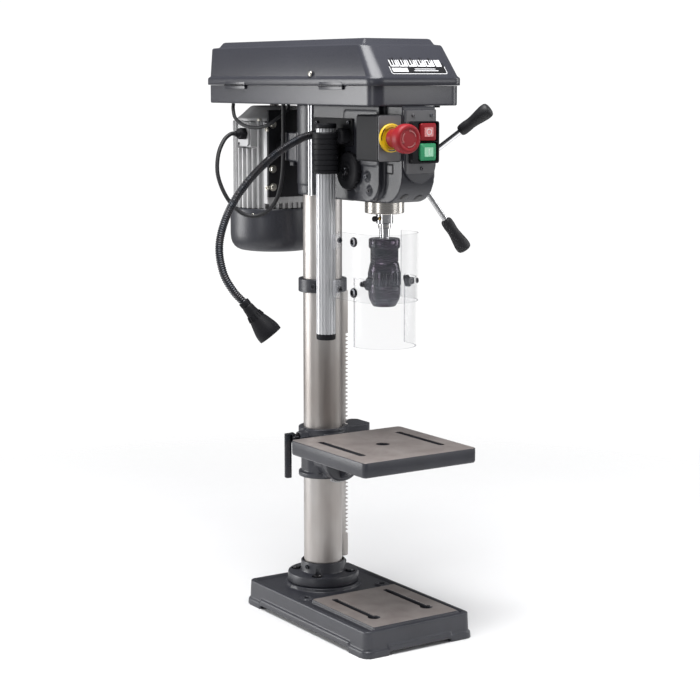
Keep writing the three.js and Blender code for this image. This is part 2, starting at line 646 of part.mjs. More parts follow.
function pulleyLid() {
  const { lipTop, shoulder, top } = LID;
  const bottom = TRAY.top + GAP;
  const wall = 2.6;
  const ledge = 15;
  const skin = (inset, drop, floor) => loft([
    lidRing(0, inset, floor), lidRing(0, inset, lipTop - 2 - drop), lidRing(0.06, inset, lipTop - drop),
    lidRing(1, inset, shoulder - 3 - drop), lidRing(1.05, inset + 2.5, shoulder - drop),
    lidRing(1.05, inset + ledge - 6, shoulder + 0.8 - drop), lidRing(1.05, inset + ledge, top - 1 - drop),
    lidRing(1.05, inset + ledge + 3, top - drop),
  ]);
  return cut(skin(0, 0, bottom), skin(wall, wall, bottom - 1));
}

/** Stepped V-belt pulley; the largest step is at the top or at the bottom. */
function steppedPulley(y, largestOnTop, bore) {
  const radii = largestOnTop ? PULLEY.radii : [...PULLEY.radii].reverse();
  const profile = [[bore, PULLEY.bottom]];
  radii.forEach((r, i) => {
    const z = PULLEY.bottom + i * PULLEY.step;
    profile.push([r, z], [r - PULLEY.groove, z + 2.2]);
    profile.push([r - PULLEY.groove, z + PULLEY.step - 2.2], [r, z + PULLEY.step]);
  });
  profile.push([bore, PULLEY.bottom + radii.length * PULLEY.step], [bore, PULLEY.bottom]);
  return turned('z', profile, 0, y);
}

/** Stepped pulley with the long boss that carries it above the head. */
function spindlePulley() {
  const bore = 10.2;
  const boss = tube('z', 14.5, bore, 770, PULLEY.bottom + 1, 0, SPINDLE_Y, MEDIUM);
  return joined(steppedPulley(SPINDLE_Y, true, bore), boss);
}

/** Fixed pin in the head's socket that the middle pulley turns on. */
function idlerPost() {
  const foot = bar('z', 8, 772.5, PULLEY.bottom - 2, 0, IDLER_Y, COARSE);
  const pin = bar('z', 6, PULLEY.bottom - 3, 854, 0, IDLER_Y, COARSE);
  return joined(foot, pin);
}

/** V-belt round two pulleys on the Y axis, at one step's height. */
function belt(yA, rA, yB, rB, z) {
  const loop = (grow) => {
    const distance = yB - yA;
    const lean = Math.asin((rA - rB) / distance);
    const points = [];
    for (let i = 0; i <= 12; i += 1) {
      const angle = lean + (Math.PI - 2 * lean) * (i / 12);
      points.push([(rB + grow) * Math.cos(angle), yB + (rB + grow) * Math.sin(angle)]);
    }
    for (let i = 0; i <= 12; i += 1) {
      const angle = Math.PI - lean + (Math.PI + 2 * lean) * (i / 12);
      points.push([(rA + grow) * Math.cos(angle), yA + (rA + grow) * Math.sin(angle)]);
    }
    return outline(points);
  };
  return cut(prism('z', loop(0.6), z - 3.4, z + 3.4), prism('z', loop(-4.4), z - 5, z + 5));
}

// ---------------------------------------------------------------- motor
function motorBody() {
  const { y, r, coreR, bottom, top } = MOTOR;
  const fins = 28;
  const points = [];
  for (let i = 0; i < fins; i += 1) {
    const centre = (2 * Math.PI * i) / fins;
    const half = Math.PI / fins;
    [[coreR, -0.95], [coreR, -0.45], [r, -0.32], [r, 0.32], [coreR, 0.45]].forEach(([radius, side]) => {
      points.push([radius * Math.cos(centre + side * half), radius * Math.sin(centre + side * half)]);
    });
  }
  const shell = prism('z', outline(points), bottom, top).translate([0, y, 0]);
  const flat = block([-50, 50], [y - r + 6.4, y - 50], [bottom + 10, top]);
  const keepOut = block([-90, 90], [y - r - 5, y - r + 6.3], [bottom - 1, top + 1]);
  const terminalFlat = block([-70, -50], [y - 32, y + 4], [716, top + 1]);
  const terminalPad = block([-62, -50], [y - 30, y + 2], [718, top]);
  const room = bar('z', 50, bottom - 1, top + 1, 0, y, MEDIUM);
  return cut(joined(cut(joined(shell, flat), terminalFlat), terminalPad), keepOut, room);
}

function motorPlate() {
  const y = MOTOR.y - MOTOR.r;
  const plate = block([-50, 50], [y, y + 6], [640, 775]);
  const rods = [-MOTOR_ROD.x, MOTOR_ROD.x].map((x) =>
    bar('y', MOTOR_ROD.r, 38, y + 2, x, MOTOR_ROD.z, COARSE)
  );
  return joined(plate, ...rods);
}

function motorFanCover() {
  const { y, capR, capBottom, bottom } = MOTOR;
  const rim = bottom - GAP;
  return turned('z', [
    [0, capBottom], [capR - 19, capBottom], [capR - 7, capBottom + 5], [capR - 1, capBottom + 16],
    [capR, capBottom + 28], [capR, rim], [capR - 3, rim], [capR - 3, capBottom + 28],
    [capR - 9, capBottom + 10], [0, capBottom + 4],
  ], 0, y, FINE);
}

const motorEndShield = () =>
  turned('z', [
    [9, 757.3], [58.5, 757.3], [58.5, 762], [53, 766], [38, 779], [34, 781], [9, 781], [9, 757.3],
  ], 0, MOTOR.y, FINE);

function motorRotor() {
  return turned('z', [
    [0, 585], [7, 585], [7, 630], [40, 630], [40, 748], [7, 748], [7, 850], [0, 850],
  ], 0, MOTOR.y, MEDIUM);
}

function motorFan() {
  const disc = tube('z', 54, 7.3, 590, 593, 0, MOTOR.y, MEDIUM);
  const blades = [];
  for (let k = 0; k < 8; k += 1) {
    const blade = new THREE.BoxGeometry(34, 2.5, 20).translate(36, 0, 583);
    blades.push(solid(blade.rotateZ((Math.PI * k) / 4).translate(0, MOTOR.y, 0)));
  }
  return joined(disc, ...blades);
}

const motorGland = () =>
  turned('x', [
    [0, -82], [4.5, -82], [5.5, -78], [8, -76], [8, -66.4], [0, -66.4],
  ], MOTOR.y - 19, 738, COARSE);

const motorTerminalCover = () => block([-66, -62.3], [MOTOR.y - 30, MOTOR.y + 2], [718, 756]);

// ---------------------------------------------------------------- chuck guard
function guardPlate() {
  const shape = outline([[-38, 694], [-104, 694], [-104, 722], [-146, 727], [-146, 766], [-38, 766]]);
  return prism('x', shape, -HEAD.half - GAP - 3.4, -HEAD.half - GAP);
}

function guardHousing() {
  const { barX, barY } = GUARD;
  const outerR = 19;
  const drum = turned('z', [
    [0, 686], [outerR - 1.5, 686], [outerR, 688], [outerR, 744], [outerR - 1.5, 746], [0, 746],
  ], barX, barY);
  const arm = block([-60, -42], [-108, -84], [700, 742]);
  const boss = bar('x', 11, -58, -42, -134, 741, MEDIUM);
  const bridge = block([-56, -42], [-136, -110], [730, 744]);
  const barBore = bar('z', GUARD.barR + GAP, 680, 750, barX, barY, MEDIUM);
  return cut(joined(drum, arm, boss, bridge), barBore);
}

/** Fluted bar that carries the shields, with its end cap. */
function guardBar() {
  const { barX, barY, barR, bottom, top } = GUARD;
  const flutes = 14;
  const points = [];
  for (let i = 0; i < flutes; i += 1) {
    [[barR, 0], [barR, 0.62], [barR - 1.3, 0.7], [barR - 1.3, 0.92]].forEach(([r, part]) => {
      const angle = (2 * Math.PI * (i + part)) / flutes;
      points.push([r * Math.cos(angle), r * Math.sin(angle)]);
    });
  }
  const extrusion = prism('z', outline(points), bottom + 8, top).translate([barX, barY, 0]);
  const endCap = bar('z', barR, bottom, bottom + 8.5, barX, barY, MEDIUM);
  const topCap = bar('z', barR + 1.5, top - 0.5, top + 7, barX, barY, MEDIUM);
  return joined(extrusion, endCap, topCap);
}

/** Bent sheet: straight from the bar, then an arc round the spindle, seen from above. */
function shieldOutline(r, sheet, startY, endAngle) {
  const shape = new THREE.Shape();
  const start = Math.PI;
  const end = 2 * Math.PI + degrees(endAngle);
  const inner = r - sheet;
  shape.moveTo(-r, startY);
  shape.lineTo(-r, SPINDLE_Y);
  shape.absarc(0, SPINDLE_Y, r, start, end, false);
  shape.lineTo(inner * Math.cos(end), SPINDLE_Y + inner * Math.sin(end));
  shape.absarc(0, SPINDLE_Y, inner, end, start, true);
  shape.lineTo(-inner, startY);
  return shape;
}

const guardUpper = () =>
  prism('z', shieldOutline(GUARD.r, GUARD.sheet, GUARD.barY + 4, 25), 502, 601, 14);

const guardLower = () =>
  prism('z', shieldOutline(GUARD.r - GUARD.sheet - GAP, GUARD.sheet, SPINDLE_Y + 10, 15), 434.7, 536.5, 14);

// ---------------------------------------------------------------- lamp and cables
const LAMP_ROUTE = [
  [-42.8, -60, 742], [-53, -60, 741], [-80, -60, 734], [-120, -58, 712], [-164, -58, 676],
  [-198, -60, 634], [-216, -63, 588], [-215, -70, 548], [-203, -78, 520], [-187, -86, 500],
];

const HEAD_CABLE_ROUTE = [
  [-70, 150, 784.6], [-71, 149, 775], [-73.5, 137, 761], [-72, 112, 751], [-66, 86, 748],
  [-58, 63, 753], [-47, 54, 763], [-35, 49, 772], [-31.5, 48, 778], [-31, 48, 784.6],
];

const MOTOR_CABLE_ROUTE = [
  [-82.6, 123, 738], [-91, 123, 737.5], [-104, 121, 728], [-117, 116, 706], [-122, 109, 676],
  [-114, 100, 645], [-98, 92, 622], [-80, 80, 612], [-62, 66, 618], [-50, 54, 638], [-44, 48, 668],
  [-42.6, 45, 700], [-42.5, 44, 735], [-42.5, 44, 765], [-42.5, 44, 784.6],
];

function lampHead() {
  const lathe = new THREE.LatheGeometry([
    [0, 0], [7, 0], [8.5, 4], [9.5, 14], [18.5, 48], [18.5, 56], [16.5, 56], [16.5, 50], [0, 48],
  ].map((p) => new THREE.Vector2(...p)), 18);
  const aim = vec(0.52, -0.34, -0.78).normalize();
  const turn = new THREE.Quaternion().setFromUnitVectors(vec(0, 1, 0), aim);
  return solid(lathe.applyQuaternion(turn).translate(-185.9, -86.7, 498.3));
}

// ---------------------------------------------------------------- assembly
piece('base', base(), castPaint);
piece('column_flange', columnFlange(), castPaint);
piece('column', columnTube(), groundSteel);
piece('rack_collar', rackCollar(), castPaint);
piece('head', head(), castPaint);
piece('pulley_tray', pulleyTray(), coverPlastic);
piece('estop_box', estopBox(), blackPlastic);
piece('estop_ring', tube('y', 20, 15, HEAD.noseY - 3.5, HEAD.noseY - GAP, ESTOP.x, ESTOP.z), signalYellow);
piece('switch_plate', switchPlate(), castPaint);
piece('switch_bezel', switchBezel(), blackPlastic);
piece('spring_cap', springCap(), blackPlastic);
piece('return_spring', returnSpring(), groundSteel);
piece('guard_plate', guardPlate(), blackPlastic);
piece('guard_housing', guardHousing(), blackPlastic);
piece('idler_post', idlerPost(), groundSteel);

piece('rack', prism('y', rackOutline(), -RACK.halfWidth, RACK.halfWidth), groundSteel);
piece('table_bracket', tableBracket(), castPaint);
piece('table_gear', tableGear(), groundSteel);
piece('table_crank', tableCrank(), blackSteel);
piece('table_lock', tableLock(), blackSteel);
piece('table', table(), machinedIron);

piece('quill', quill(), groundSteel);
piece('quill_collar', tube('z', 28.7, QUILL.r + GAP, 629.6, 646.6, 0, SPINDLE_Y, FINE), groundSteel);
piece('bearing_lower', bearing(QUILL.bottom + 0.3), groundSteel);
piece('bearing_upper', bearing(QUILL.top - 12.3), groundSteel);
piece('spindle', spindle(), chrome);
piece('chuck_body', chuckBody(), blackSteel);
piece('chuck_sleeve', chuckSleeve(), blackSteel);

piece('feed_shaft', feedShaft(), groundSteel);
piece('feed_hub', feedHub(), castPaint);
for (let k = 0; k < 3; k += 1) {
  piece(`feed_rod_${k + 1}`, feedRod(k), chrome);
  piece(`feed_grip_${k + 1}`, feedGrip(k), rubber);
}

piece('pulley_lid', pulleyLid(), coverPlastic);
piece('spindle_pulley', spindlePulley(), aluminium);
piece('idler_pulley', steppedPulley(IDLER_Y, false, 6.3), aluminium);
piece('motor_pulley', steppedPulley(MOTOR.y, true, 7.3), aluminium);
const beltZ = (step) => PULLEY.bottom + (step + 0.5) * PULLEY.step;
piece('spindle_belt', belt(SPINDLE_Y, PULLEY.radii[1], IDLER_Y, PULLEY.radii[2], beltZ(1)), rubber);
piece('motor_belt', belt(IDLER_Y, PULLEY.radii[1], MOTOR.y, PULLEY.radii[2], beltZ(2)), rubber);

piece('motor_plate', motorPlate(), blackPlastic);
piece('motor_body', motorBody(), aluminium);
piece('motor_fan_cover', motorFanCover(), castPaint);
piece('motor_end_shield', motorEndShield(), aluminium);
piece('motor_gland', motorGland(), blackPlastic);
piece('motor_terminal_cover', motorTerminalCover(), aluminium);
piece('motor_rotor', motorRotor(), groundSteel);
piece('motor_fan', motorFan(), blackPlastic);

piece('guard_bar', guardBar(), aluminium);
piece('guard_upper', guardUpper(), clearSheet);
piece('guard_lower', guardLower(), clearSheet);

piece('lamp_hose', swept(LAMP_ROUTE, 6, 8, 22), blackSteel);
piece('lamp_head', lampHead(), blackPlastic);
piece('head_cable', swept(HEAD_CABLE_ROUTE, 2.8, 8, 16), rubber);
piece('motor_cable', swept(MOTOR_CABLE_ROUTE, 3.2, 8, 28), rubber);

piece('estop_button', estopButton(), signalRed);
piece('stop_button', pushButton(737, 761), signalRed);
piece('start_button', pushButton(709, 733), signalGreen);

export default machine;
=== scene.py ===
"""Bench drill press: camera, light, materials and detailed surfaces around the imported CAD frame.

Shapes are drawn in millimetres in the CAD frame (column axis X = 0, Y = 0, bench at Z = 0,
operator at -Y) and turned into metres when a piece is made.
"""
import json
import math

import bmesh
import bpy
from mathutils import Matrix, Quaternion, Vector


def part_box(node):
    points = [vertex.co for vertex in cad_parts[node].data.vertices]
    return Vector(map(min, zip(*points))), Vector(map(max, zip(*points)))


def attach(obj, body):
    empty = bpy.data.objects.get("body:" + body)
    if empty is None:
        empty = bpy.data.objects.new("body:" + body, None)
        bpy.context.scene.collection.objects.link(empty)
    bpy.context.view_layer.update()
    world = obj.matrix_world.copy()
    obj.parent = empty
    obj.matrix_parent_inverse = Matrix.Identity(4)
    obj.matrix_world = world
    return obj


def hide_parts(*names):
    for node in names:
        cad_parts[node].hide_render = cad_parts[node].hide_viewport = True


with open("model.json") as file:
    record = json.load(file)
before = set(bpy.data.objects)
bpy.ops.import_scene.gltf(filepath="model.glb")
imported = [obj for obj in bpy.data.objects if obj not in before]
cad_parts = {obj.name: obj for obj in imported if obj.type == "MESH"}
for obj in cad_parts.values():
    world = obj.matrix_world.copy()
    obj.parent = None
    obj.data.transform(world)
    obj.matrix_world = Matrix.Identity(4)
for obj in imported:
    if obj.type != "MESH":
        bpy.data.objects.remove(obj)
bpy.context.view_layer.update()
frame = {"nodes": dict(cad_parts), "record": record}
NODES = frame["nodes"]
MM = 0.001


def extent(node):
    """Lowest and highest corner of a CAD node, in millimetres."""
    low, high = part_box(node)
    return low / MM, high / MM


def in_scene(name, data):
    """Object with this data, linked to the scene."""
    made = bpy.data.objects.new(name, data)
    bpy.context.scene.collection.objects.link(made)
    return made


# ------------------------------------------------------------------ camera
CAMERA_AT = (-1.4546, -2.2854, 0.8221)
LOOKS_TOWARD = (0.5500, 0.8351)
TILT_DOWN = math.radians(7.36)


def make_camera():
    data = bpy.data.cameras.new("camera")
    data.sensor_width = 36.0
    data.lens = 90.9
    data.shift_y = -0.0605
    data.dof.use_dof = False
    camera = in_scene("camera", data)
    camera.location = CAMERA_AT
    forward = Vector((*LOOKS_TOWARD, -math.tan(TILT_DOWN)))
    camera.rotation_mode = "QUATERNION"
    camera.rotation_quaternion = forward.to_track_quat("-Z", "Y")
    data.clip_start = 0.05
    data.clip_end = 60.0
    bpy.context.scene.camera = camera


make_camera()


# ------------------------------------------------------------------ materials
def node(tree, kind, inputs=None, **settings):
    """A shader node; inputs may be values or the sockets that feed them."""
    made = tree.nodes.new(kind)
    for key, value in settings.items():
        setattr(made, key, value)
    for key, value in (inputs or {}).items():
        if isinstance(value, bpy.types.NodeSocket):
            tree.links.new(value, made.inputs[key])
        else:
            made.inputs[key].default_value = value
    return made


def plain(name, color, roughness, metallic=0.0, **sockets):
    """A material with its own Principled shader; sockets are uniform values."""
    made = bpy.data.materials.new(name)
    made.use_nodes = True
    shader = made.node_tree.nodes["Principled BSDF"]
    shader.inputs["Base Color"].default_value = (*color, 1.0)
    shader.inputs["Roughness"].default_value = roughness
    shader.inputs["Metallic"].default_value = metallic
    for key, value in sockets.items():
        shader.inputs[key.replace("_", " ")].default_value = value
    made.diffuse_color = (*color, 1.0)
    return made


def coordinates(tree, scale=(1, 1, 1), shift=(0, 0, 0)):
    where = node(tree, "ShaderNodeTexCoord").outputs["Object"]
    made = node(tree, "ShaderNodeMapping", {"Vector": where, "Scale": scale, "Location": shift})
    return made.outputs["Vector"]


def noise(tree, where, scale, detail=3.0, roughness=0.55):
    settings = {"Vector": where, "Scale": scale, "Detail": detail, "Roughness": roughness}
    return node(tree, "ShaderNodeTexNoise", settings).outputs["Fac"]


def ramp(tree, value, low, high, start=0.3, end=0.7):
    """Maps value between start and end onto low to high, which are numbers or colours."""
    limits = {"Value": value, "From Min": start, "From Max": end}
    if isinstance(low, tuple):
        share = node(tree, "ShaderNodeMapRange", limits).outputs["Result"]
        ends = {0: share, 6: (*low, 1.0), 7: (*high, 1.0)}
        return node(tree, "ShaderNodeMix", ends, data_type="RGBA").outputs[2]
    limits.update({"To Min": low, "To Max": high})
    return node(tree, "ShaderNodeMapRange", limits).outputs["Result"]


def feed(material, color=None, roughness=None, heights=()):
    """Links a colour, a roughness and stacked bumps (height, strength, depth in mm)."""
    tree = material.node_tree
    shader = tree.nodes["Principled BSDF"]
    if color is not None:
        tree.links.new(color, shader.inputs["Base Color"])
    if roughness is not None:
        tree.links.new(roughness, shader.inputs["Roughness"])
    normal = None
    for height, strength, depth in heights:
        settings = {"Height": height, "Strength": strength, "Distance": depth * MM}
        bump = node(tree, "ShaderNodeBump", settings)
        if normal is not None:
            tree.links.new(normal, bump.inputs["Normal"])
        normal = bump.outputs["Normal"]
    if normal is not None:
        tree.links.new(normal, shader.inputs["Normal"])
    return material


def shades(color, spread):
    """Two colours, a share darker and a share lighter than color."""
    return tuple(c * (1 - spread) for c in color), tuple(min(c * (1 + spread), 1) for c in color)


def cast_paint():
    base = (0.027, 0.028, 0.036)
    made = plain("hammered_paint", base, 0.4, Coat_Weight=0.12, Coat_Roughness=0.25)
    tree = made.node_tree
    where = coordinates(tree)
    broad = noise(tree, where, 22.0)
    cells = {"Vector": where, "Scale": 420.0}
    pebbles = node(tree, "ShaderNodeTexVoronoi", cells, feature="SMOOTH_F1").outputs["Distance"]
    fine = noise(tree, where, 900.0, 2.0)
    tint = ramp(tree, broad, *shades(base, 0.13))
    bumps = [(pebbles, 0.22, 0.35), (fine, 0.25, 0.12), (broad, 0.3, 0.6)]
    return feed(made, tint, ramp(tree, fine, 0.34, 0.5), bumps)


def moulded(name, color, roughness, grain=0.2, scale=1400.0, **sockets):
    """Spark-eroded moulded plastic with a fine grain."""
    made = plain(name, color, roughness, **sockets)
    tree = made.node_tree
    where = coordinates(tree)
    broad = noise(tree, where, 9.0)
    fine = noise(tree, where, scale, 2.0)
    tint = ramp(tree, broad, *shades(color, 0.08))
    return feed(made, tint, ramp(tree, fine, roughness - 0.05, roughness + 0.07), [(fine, grain, 0.08)])


def ground_steel():
    base = (0.50, 0.475, 0.45)
    made = plain("ground_steel", base, 0.27, 1.0)
    tree = made.node_tree
    rings = noise(tree, coordinates(tree, (20, 20, 2600)), 1.0, 2.0)
    streaks = noise(tree, coordinates(tree, (240, 240, 6)), 1.0, 3.0)
    stain = noise(tree, coordinates(tree, (9, 9, 4)), 1.0, 4.0)
    tint = ramp(tree, stain, (0.36, 0.33, 0.31), (0.50, 0.485, 0.475), 0.35, 0.65)
    bumps = [(rings, 0.12, 0.03), (streaks, 0.06, 0.05)]
    return feed(made, tint, ramp(tree, streaks, 0.36, 0.5), bumps)


def milled_iron():
    base = (0.33, 0.29, 0.275)
    made = plain("milled_iron", base, 0.42, 0.5)
    tree = made.node_tree
    low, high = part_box("table")
    centre = ((low.x + high.x) / 2, low.y + (high.x - low.x) / 2)
    about_hole = coordinates(tree, (1, 1, 1), (-centre[0], -centre[1], 0))
    waves = {"Vector": about_hole, "Scale": 260.0, "Distortion": 1.2, "Detail": 1.0}
    kind = {"wave_type": "RINGS", "rings_direction": "Z"}
    rings = node(tree, "ShaderNodeTexWave", waves, **kind).outputs["Fac"]
    patches = noise(tree, coordinates(tree), 26.0, 5.0)
    fine = noise(tree, coordinates(tree), 600.0)
    split = node(tree, "ShaderNodeSeparateXYZ", {"Vector": about_hole}).outputs
    sides = {0: split["Y"], 1: split["X"]}
    angle = node(tree, "ShaderNodeMath", sides, operation="ARCTAN2").outputs[0]
    fan_angle = node(tree, "ShaderNodeCombineXYZ", {"X": angle}).outputs[0]
    fan = noise(tree, fan_angle, 7.0, 3.0)
    tint = ramp(tree, patches, (0.285, 0.245, 0.232), (0.390, 0.350, 0.334))
    return feed(made, tint, ramp(tree, fan, 0.40, 0.50), [(rings, 0.12, 0.05), (fine, 0.1, 0.05)])


def chrome():
    made = plain("chrome", (0.78, 0.78, 0.79), 0.1, 1.0)
    tree = made.node_tree
    fine = noise(tree, coordinates(tree, (300, 300, 300)), 1.0)
    return feed(made, roughness=ramp(tree, fine, 0.07, 0.17), heights=[(fine, 0.03, 0.02)])


def turned_steel():
    made = plain("turned_steel", (0.62, 0.59, 0.55), 0.24, 1.0)
    tree = made.node_tree
    rings = noise(tree, coordinates(tree, (30, 30, 3200)), 1.0, 2.0)
    return feed(made, roughness=ramp(tree, rings, 0.18, 0.34), heights=[(rings, 0.2, 0.03)])


def extruded_aluminium():
    base = (0.66, 0.665, 0.68)
    made = plain("extruded_aluminium", base, 0.36, 1.0)
    tree = made.node_tree
    streaks = noise(tree, coordinates(tree, (900, 900, 8)), 1.0, 3.0)
    tint = ramp(tree, streaks, *shades(base, 0.06))
    return feed(made, tint, ramp(tree, streaks, 0.42, 0.54), [(streaks, 0.15, 0.04)])


def cast_aluminium():
    base = (0.47, 0.47, 0.475)
    made = plain("cast_aluminium", base, 0.5, 0.35)
    tree = made.node_tree
    where = coordinates(tree)
    fine = noise(tree, where, 800.0, 2.0)
    broad = noise(tree, where, 30.0, 4.0)
    tint = ramp(tree, broad, *shades(base, 0.1))
    return feed(made, tint, ramp(tree, fine, 0.44, 0.58), [(fine, 0.3, 0.12), (broad, 0.2, 0.3)])


def black_oxide(name="black_oxide", roughness=0.26, glow=(0.036, 0.033, 0.036)):
    base = (0.028, 0.027, 0.033)
    made = plain(name, base, roughness, 0.85, Coat_Weight=0.35, Coat_Roughness=0.2)
    tree = made.node_tree
    cloud = noise(tree, coordinates(tree), 60.0, 3.0)
    rings = noise(tree, coordinates(tree, (40, 40, 2400)), 1.0, 2.0)
    tint = ramp(tree, cloud, (0.020, 0.023, 0.030), glow, 0.4, 0.65)
    return feed(made, tint, ramp(tree, rings, roughness - 0.06, roughness + 0.1), [(rings, 0.1, 0.03)])


def clear_sheet(name, alpha, color=(0.86, 0.87, 0.91)):
    made = plain(name, color, 0.08, IOR=1.49, Specular_IOR_Level=0.7)
    made.node_tree.nodes["Principled BSDF"].inputs["Alpha"].default_value = alpha
    tree = made.node_tree
    haze = noise(tree, coordinates(tree), 45.0)
    return feed(made, roughness=ramp(tree, haze, 0.05, 0.16), heights=[(haze, 0.06, 0.3)])


LOOKS = {
    "cast_paint": cast_paint(),
    "cover_plastic": moulded("cover_plastic", (0.036, 0.037, 0.047), 0.3, 0.16),
    "black_plastic": moulded("black_plastic", (0.011, 0.011, 0.013), 0.5, Specular_IOR_Level=0.14),
    "ground_steel": ground_steel(),
    "machined_iron": milled_iron(),
    "chrome": chrome(),
    "aluminium": cast_aluminium(),
    "black_steel": black_oxide(),
    "clear_sheet": clear_sheet("clear_polycarbonate", 0.07, (0.36, 0.37, 0.41)),
    "rubber": moulded("rubber", (0.010, 0.010, 0.012), 0.55, 0.35, 900.0),
    "signal_red": moulded("signal_red", (0.27, 0.010, 0.016), 0.45, 0.12, Specular_IOR_Level=0.3),
    "signal_green": moulded("signal_green", (0.04, 0.30, 0.14), 0.25, 0.05),
    "signal_yellow": moulded("signal_yellow", (0.80, 0.53, 0.01), 0.4, 0.1),
}
TURNED = turned_steel()
EXTRUDED = extruded_aluminium()
SHEET_EDGE = clear_sheet("polycarbonate_edge", 0.55, (0.34, 0.36, 0.41))
ZINC = moulded("zinc_plate", (0.62, 0.60, 0.54), 0.3, 0.1, Metallic=1.0)
BRASS = moulded("brass", (0.62, 0.42, 0.13), 0.28, 0.1, Metallic=1.0)
GREY_PLATE = moulded("grey_front_plate", (0.105, 0.105, 0.112), 0.4, 0.12)
PLATE_WHITE = moulded("printed_white", (0.72, 0.72, 0.74), 0.4, 0.05)
PLATE_BLACK = moulded("printed_black", (0.012, 0.012, 0.014), 0.3, 0.05)
PLATE_RED = moulded("printed_red", (0.55, 0.02, 0.015), 0.35, 0.05)
LAMP_LENS = moulded("lamp_lens", (0.75, 0.76, 0.74), 0.12, 0.3)
RED_LIGHT = moulded("red_window", (0.62, 0.16, 0.16), 0.22, 0.05)
GREEN_LIGHT = moulded("green_window", (0.25, 0.60, 0.38), 0.22, 0.05)

# ------------------------------------------------------------------ shapes, as (points, faces) in mm
UP, DOWN, RIGHT, LEFT, FRONT, BACK = (0, 0, 1), (0, 0, -1), (1, 0, 0), (-1, 0, 0), (0, -1, 0), (0, 1, 0)
STYLES = {
    "round": lambda t: 1.0,
    "hex": lambda t: 1 / math.cos((t + math.pi / 6) % (math.pi / 3) - math.pi / 6),
    "cross": lambda t: 0.32 + 0.68 * abs(math.cos(2 * t)) ** 6,
    "knurl": lambda t: 1 + 0.025 * math.cos(24 * t),
    "wing": lambda t: 0.42 + 0.58 * abs(math.cos(t)) ** 5,
}


def turned(profile, sides=64):
    """Shell turned about Z from (radius, height[, style]) rows; it closes on itself or on the axis."""
    rows = [(p[0], p[1], p[2] if len(p) > 2 else "round") for p in profile]
    looped = rows[0] == rows[-1]
    if looped:
        rows = rows[:-1]
    points, starts, faces = [], [], []
    for radius, height, style in rows:
        starts.append(len(points))
        if radius == 0:
            points.append((0, 0, height))
            continue
        for i in range(sides):
            t = 2 * math.pi * i / sides
            r = radius * STYLES[style](t)
            points.append((r * math.cos(t), r * math.sin(t), height))
    links = list(range(len(rows))) + ([0] if looped else [])
    for a, b in zip(links, links[1:]):
        for i in range(sides):
            j = (i + 1) % sides
            if rows[a][0] == 0:
                faces.append((starts[a], starts[b] + i, starts[b] + j))
            elif rows[b][0] == 0:
                faces.append((starts[a] + i, starts[a] + j, starts[b]))
            else:
                faces.append((starts[a] + i, starts[a] + j, starts[b] + j, starts[b] + i))
    return points, faces


def placed(shape, at, toward=UP, spin=0.0):
    """The shape with its Z axis turned to toward, after a spin about it, and moved to at."""
    turn = Vector((0, 0, 1)).rotation_difference(Vector(toward)) @ Quaternion((0, 0, 1), spin)
    return [turn @ Vector(p) + Vector(at) for p in shape[0]], shape[1]


def cylinder(radius, low, high, sides):
    return turned([(0, low), (radius, low), (radius, high), (0, high)], sides)


def washer(inner, outer, low, high, sides):
    return turned([(inner, low), (outer, low), (outer, high), (inner, high), (inner, low)], sides)


def skin_faces(rings, n):
    """Faces through rings of n points each, with both end rings closed."""
    faces = []
    last = (rings - 1) * n
    for a in range(0, last, n):
        faces += [(a + i, a + (i + 1) % n, a + n + (i + 1) % n, a + n + i) for i in range(n)]
    return faces + [tuple(range(n)), tuple(range(last, last + n))]


def prism(outline, low, high, axis="z"):
    """Solid between two levels on axis; the outline is (y, z) for x, (x, z) for y, (x, y) for z."""
    order = {"x": (2, 0, 1), "y": (0, 2, 1), "z": (0, 1, 2)}[axis]
    points = []
    for level in (low, high):
        for u, v in outline:
            row = (u, v, level)
            points.append(tuple(row[k] for k in order))
    return points, skin_faces(2, len(outline))


def block(low, high):
    (x0, y0, z0), (x1, y1, z1) = low, high
    return prism([(x0, y0), (x1, y0), (x1, y1), (x0, y1)], z0, z1)


def loft(rings):
    """Skin through rings of points, closed at both ends."""
    return [p for ring in rings for p in ring], skin_faces(len(rings), len(rings[0]))


def arc(centre, radius, start, end, steps=12):
    """Points on an arc, angles in degrees."""
    rows = []
    for i in range(steps + 1):
        t = math.radians(start + (end - start) * i / steps)
        rows.append((centre[0] + radius * math.cos(t), centre[1] + radius * math.sin(t)))
    return rows


def rounded(x0, x1, y0, y1, radii, steps=8):
    """Rectangle outline with a radius at each corner, from (x1, y0) anticlockwise."""
    corners = [(x1, y0, -90, -1, 1), (x1, y1, 0, -1, -1), (x0, y1, 90, 1, -1), (x0, y0, 180, 1, 1)]
    if not isinstance(radii, (list, tuple)):
        radii = [radii] * 4
    rows = []
    for (x, y, start, in_x, in_y), r in zip(corners, radii):
        rows += arc((x + r * in_x, y + r * in_y), r, start, start + 90, steps)
    return rows


def smooth_path(points, steps=6):
    """Catmull-Rom curve through the points."""
    rows = [Vector(p) for p in points]
    rows = [2 * rows[0] - rows[1], *rows, 2 * rows[-1] - rows[-2]]
    made = []
    for a, b, c, d in zip(rows, rows[1:], rows[2:], rows[3:]):
        for i in range(steps):
            t = i / steps
            curve = 2 * b + (c - a) * t + (2 * a - 5 * b + 4 * c - d) * t * t
            made.append(0.5 * (curve + (3 * b - a - 3 * c + d) * t**3))
    return [*made, rows[-2]]


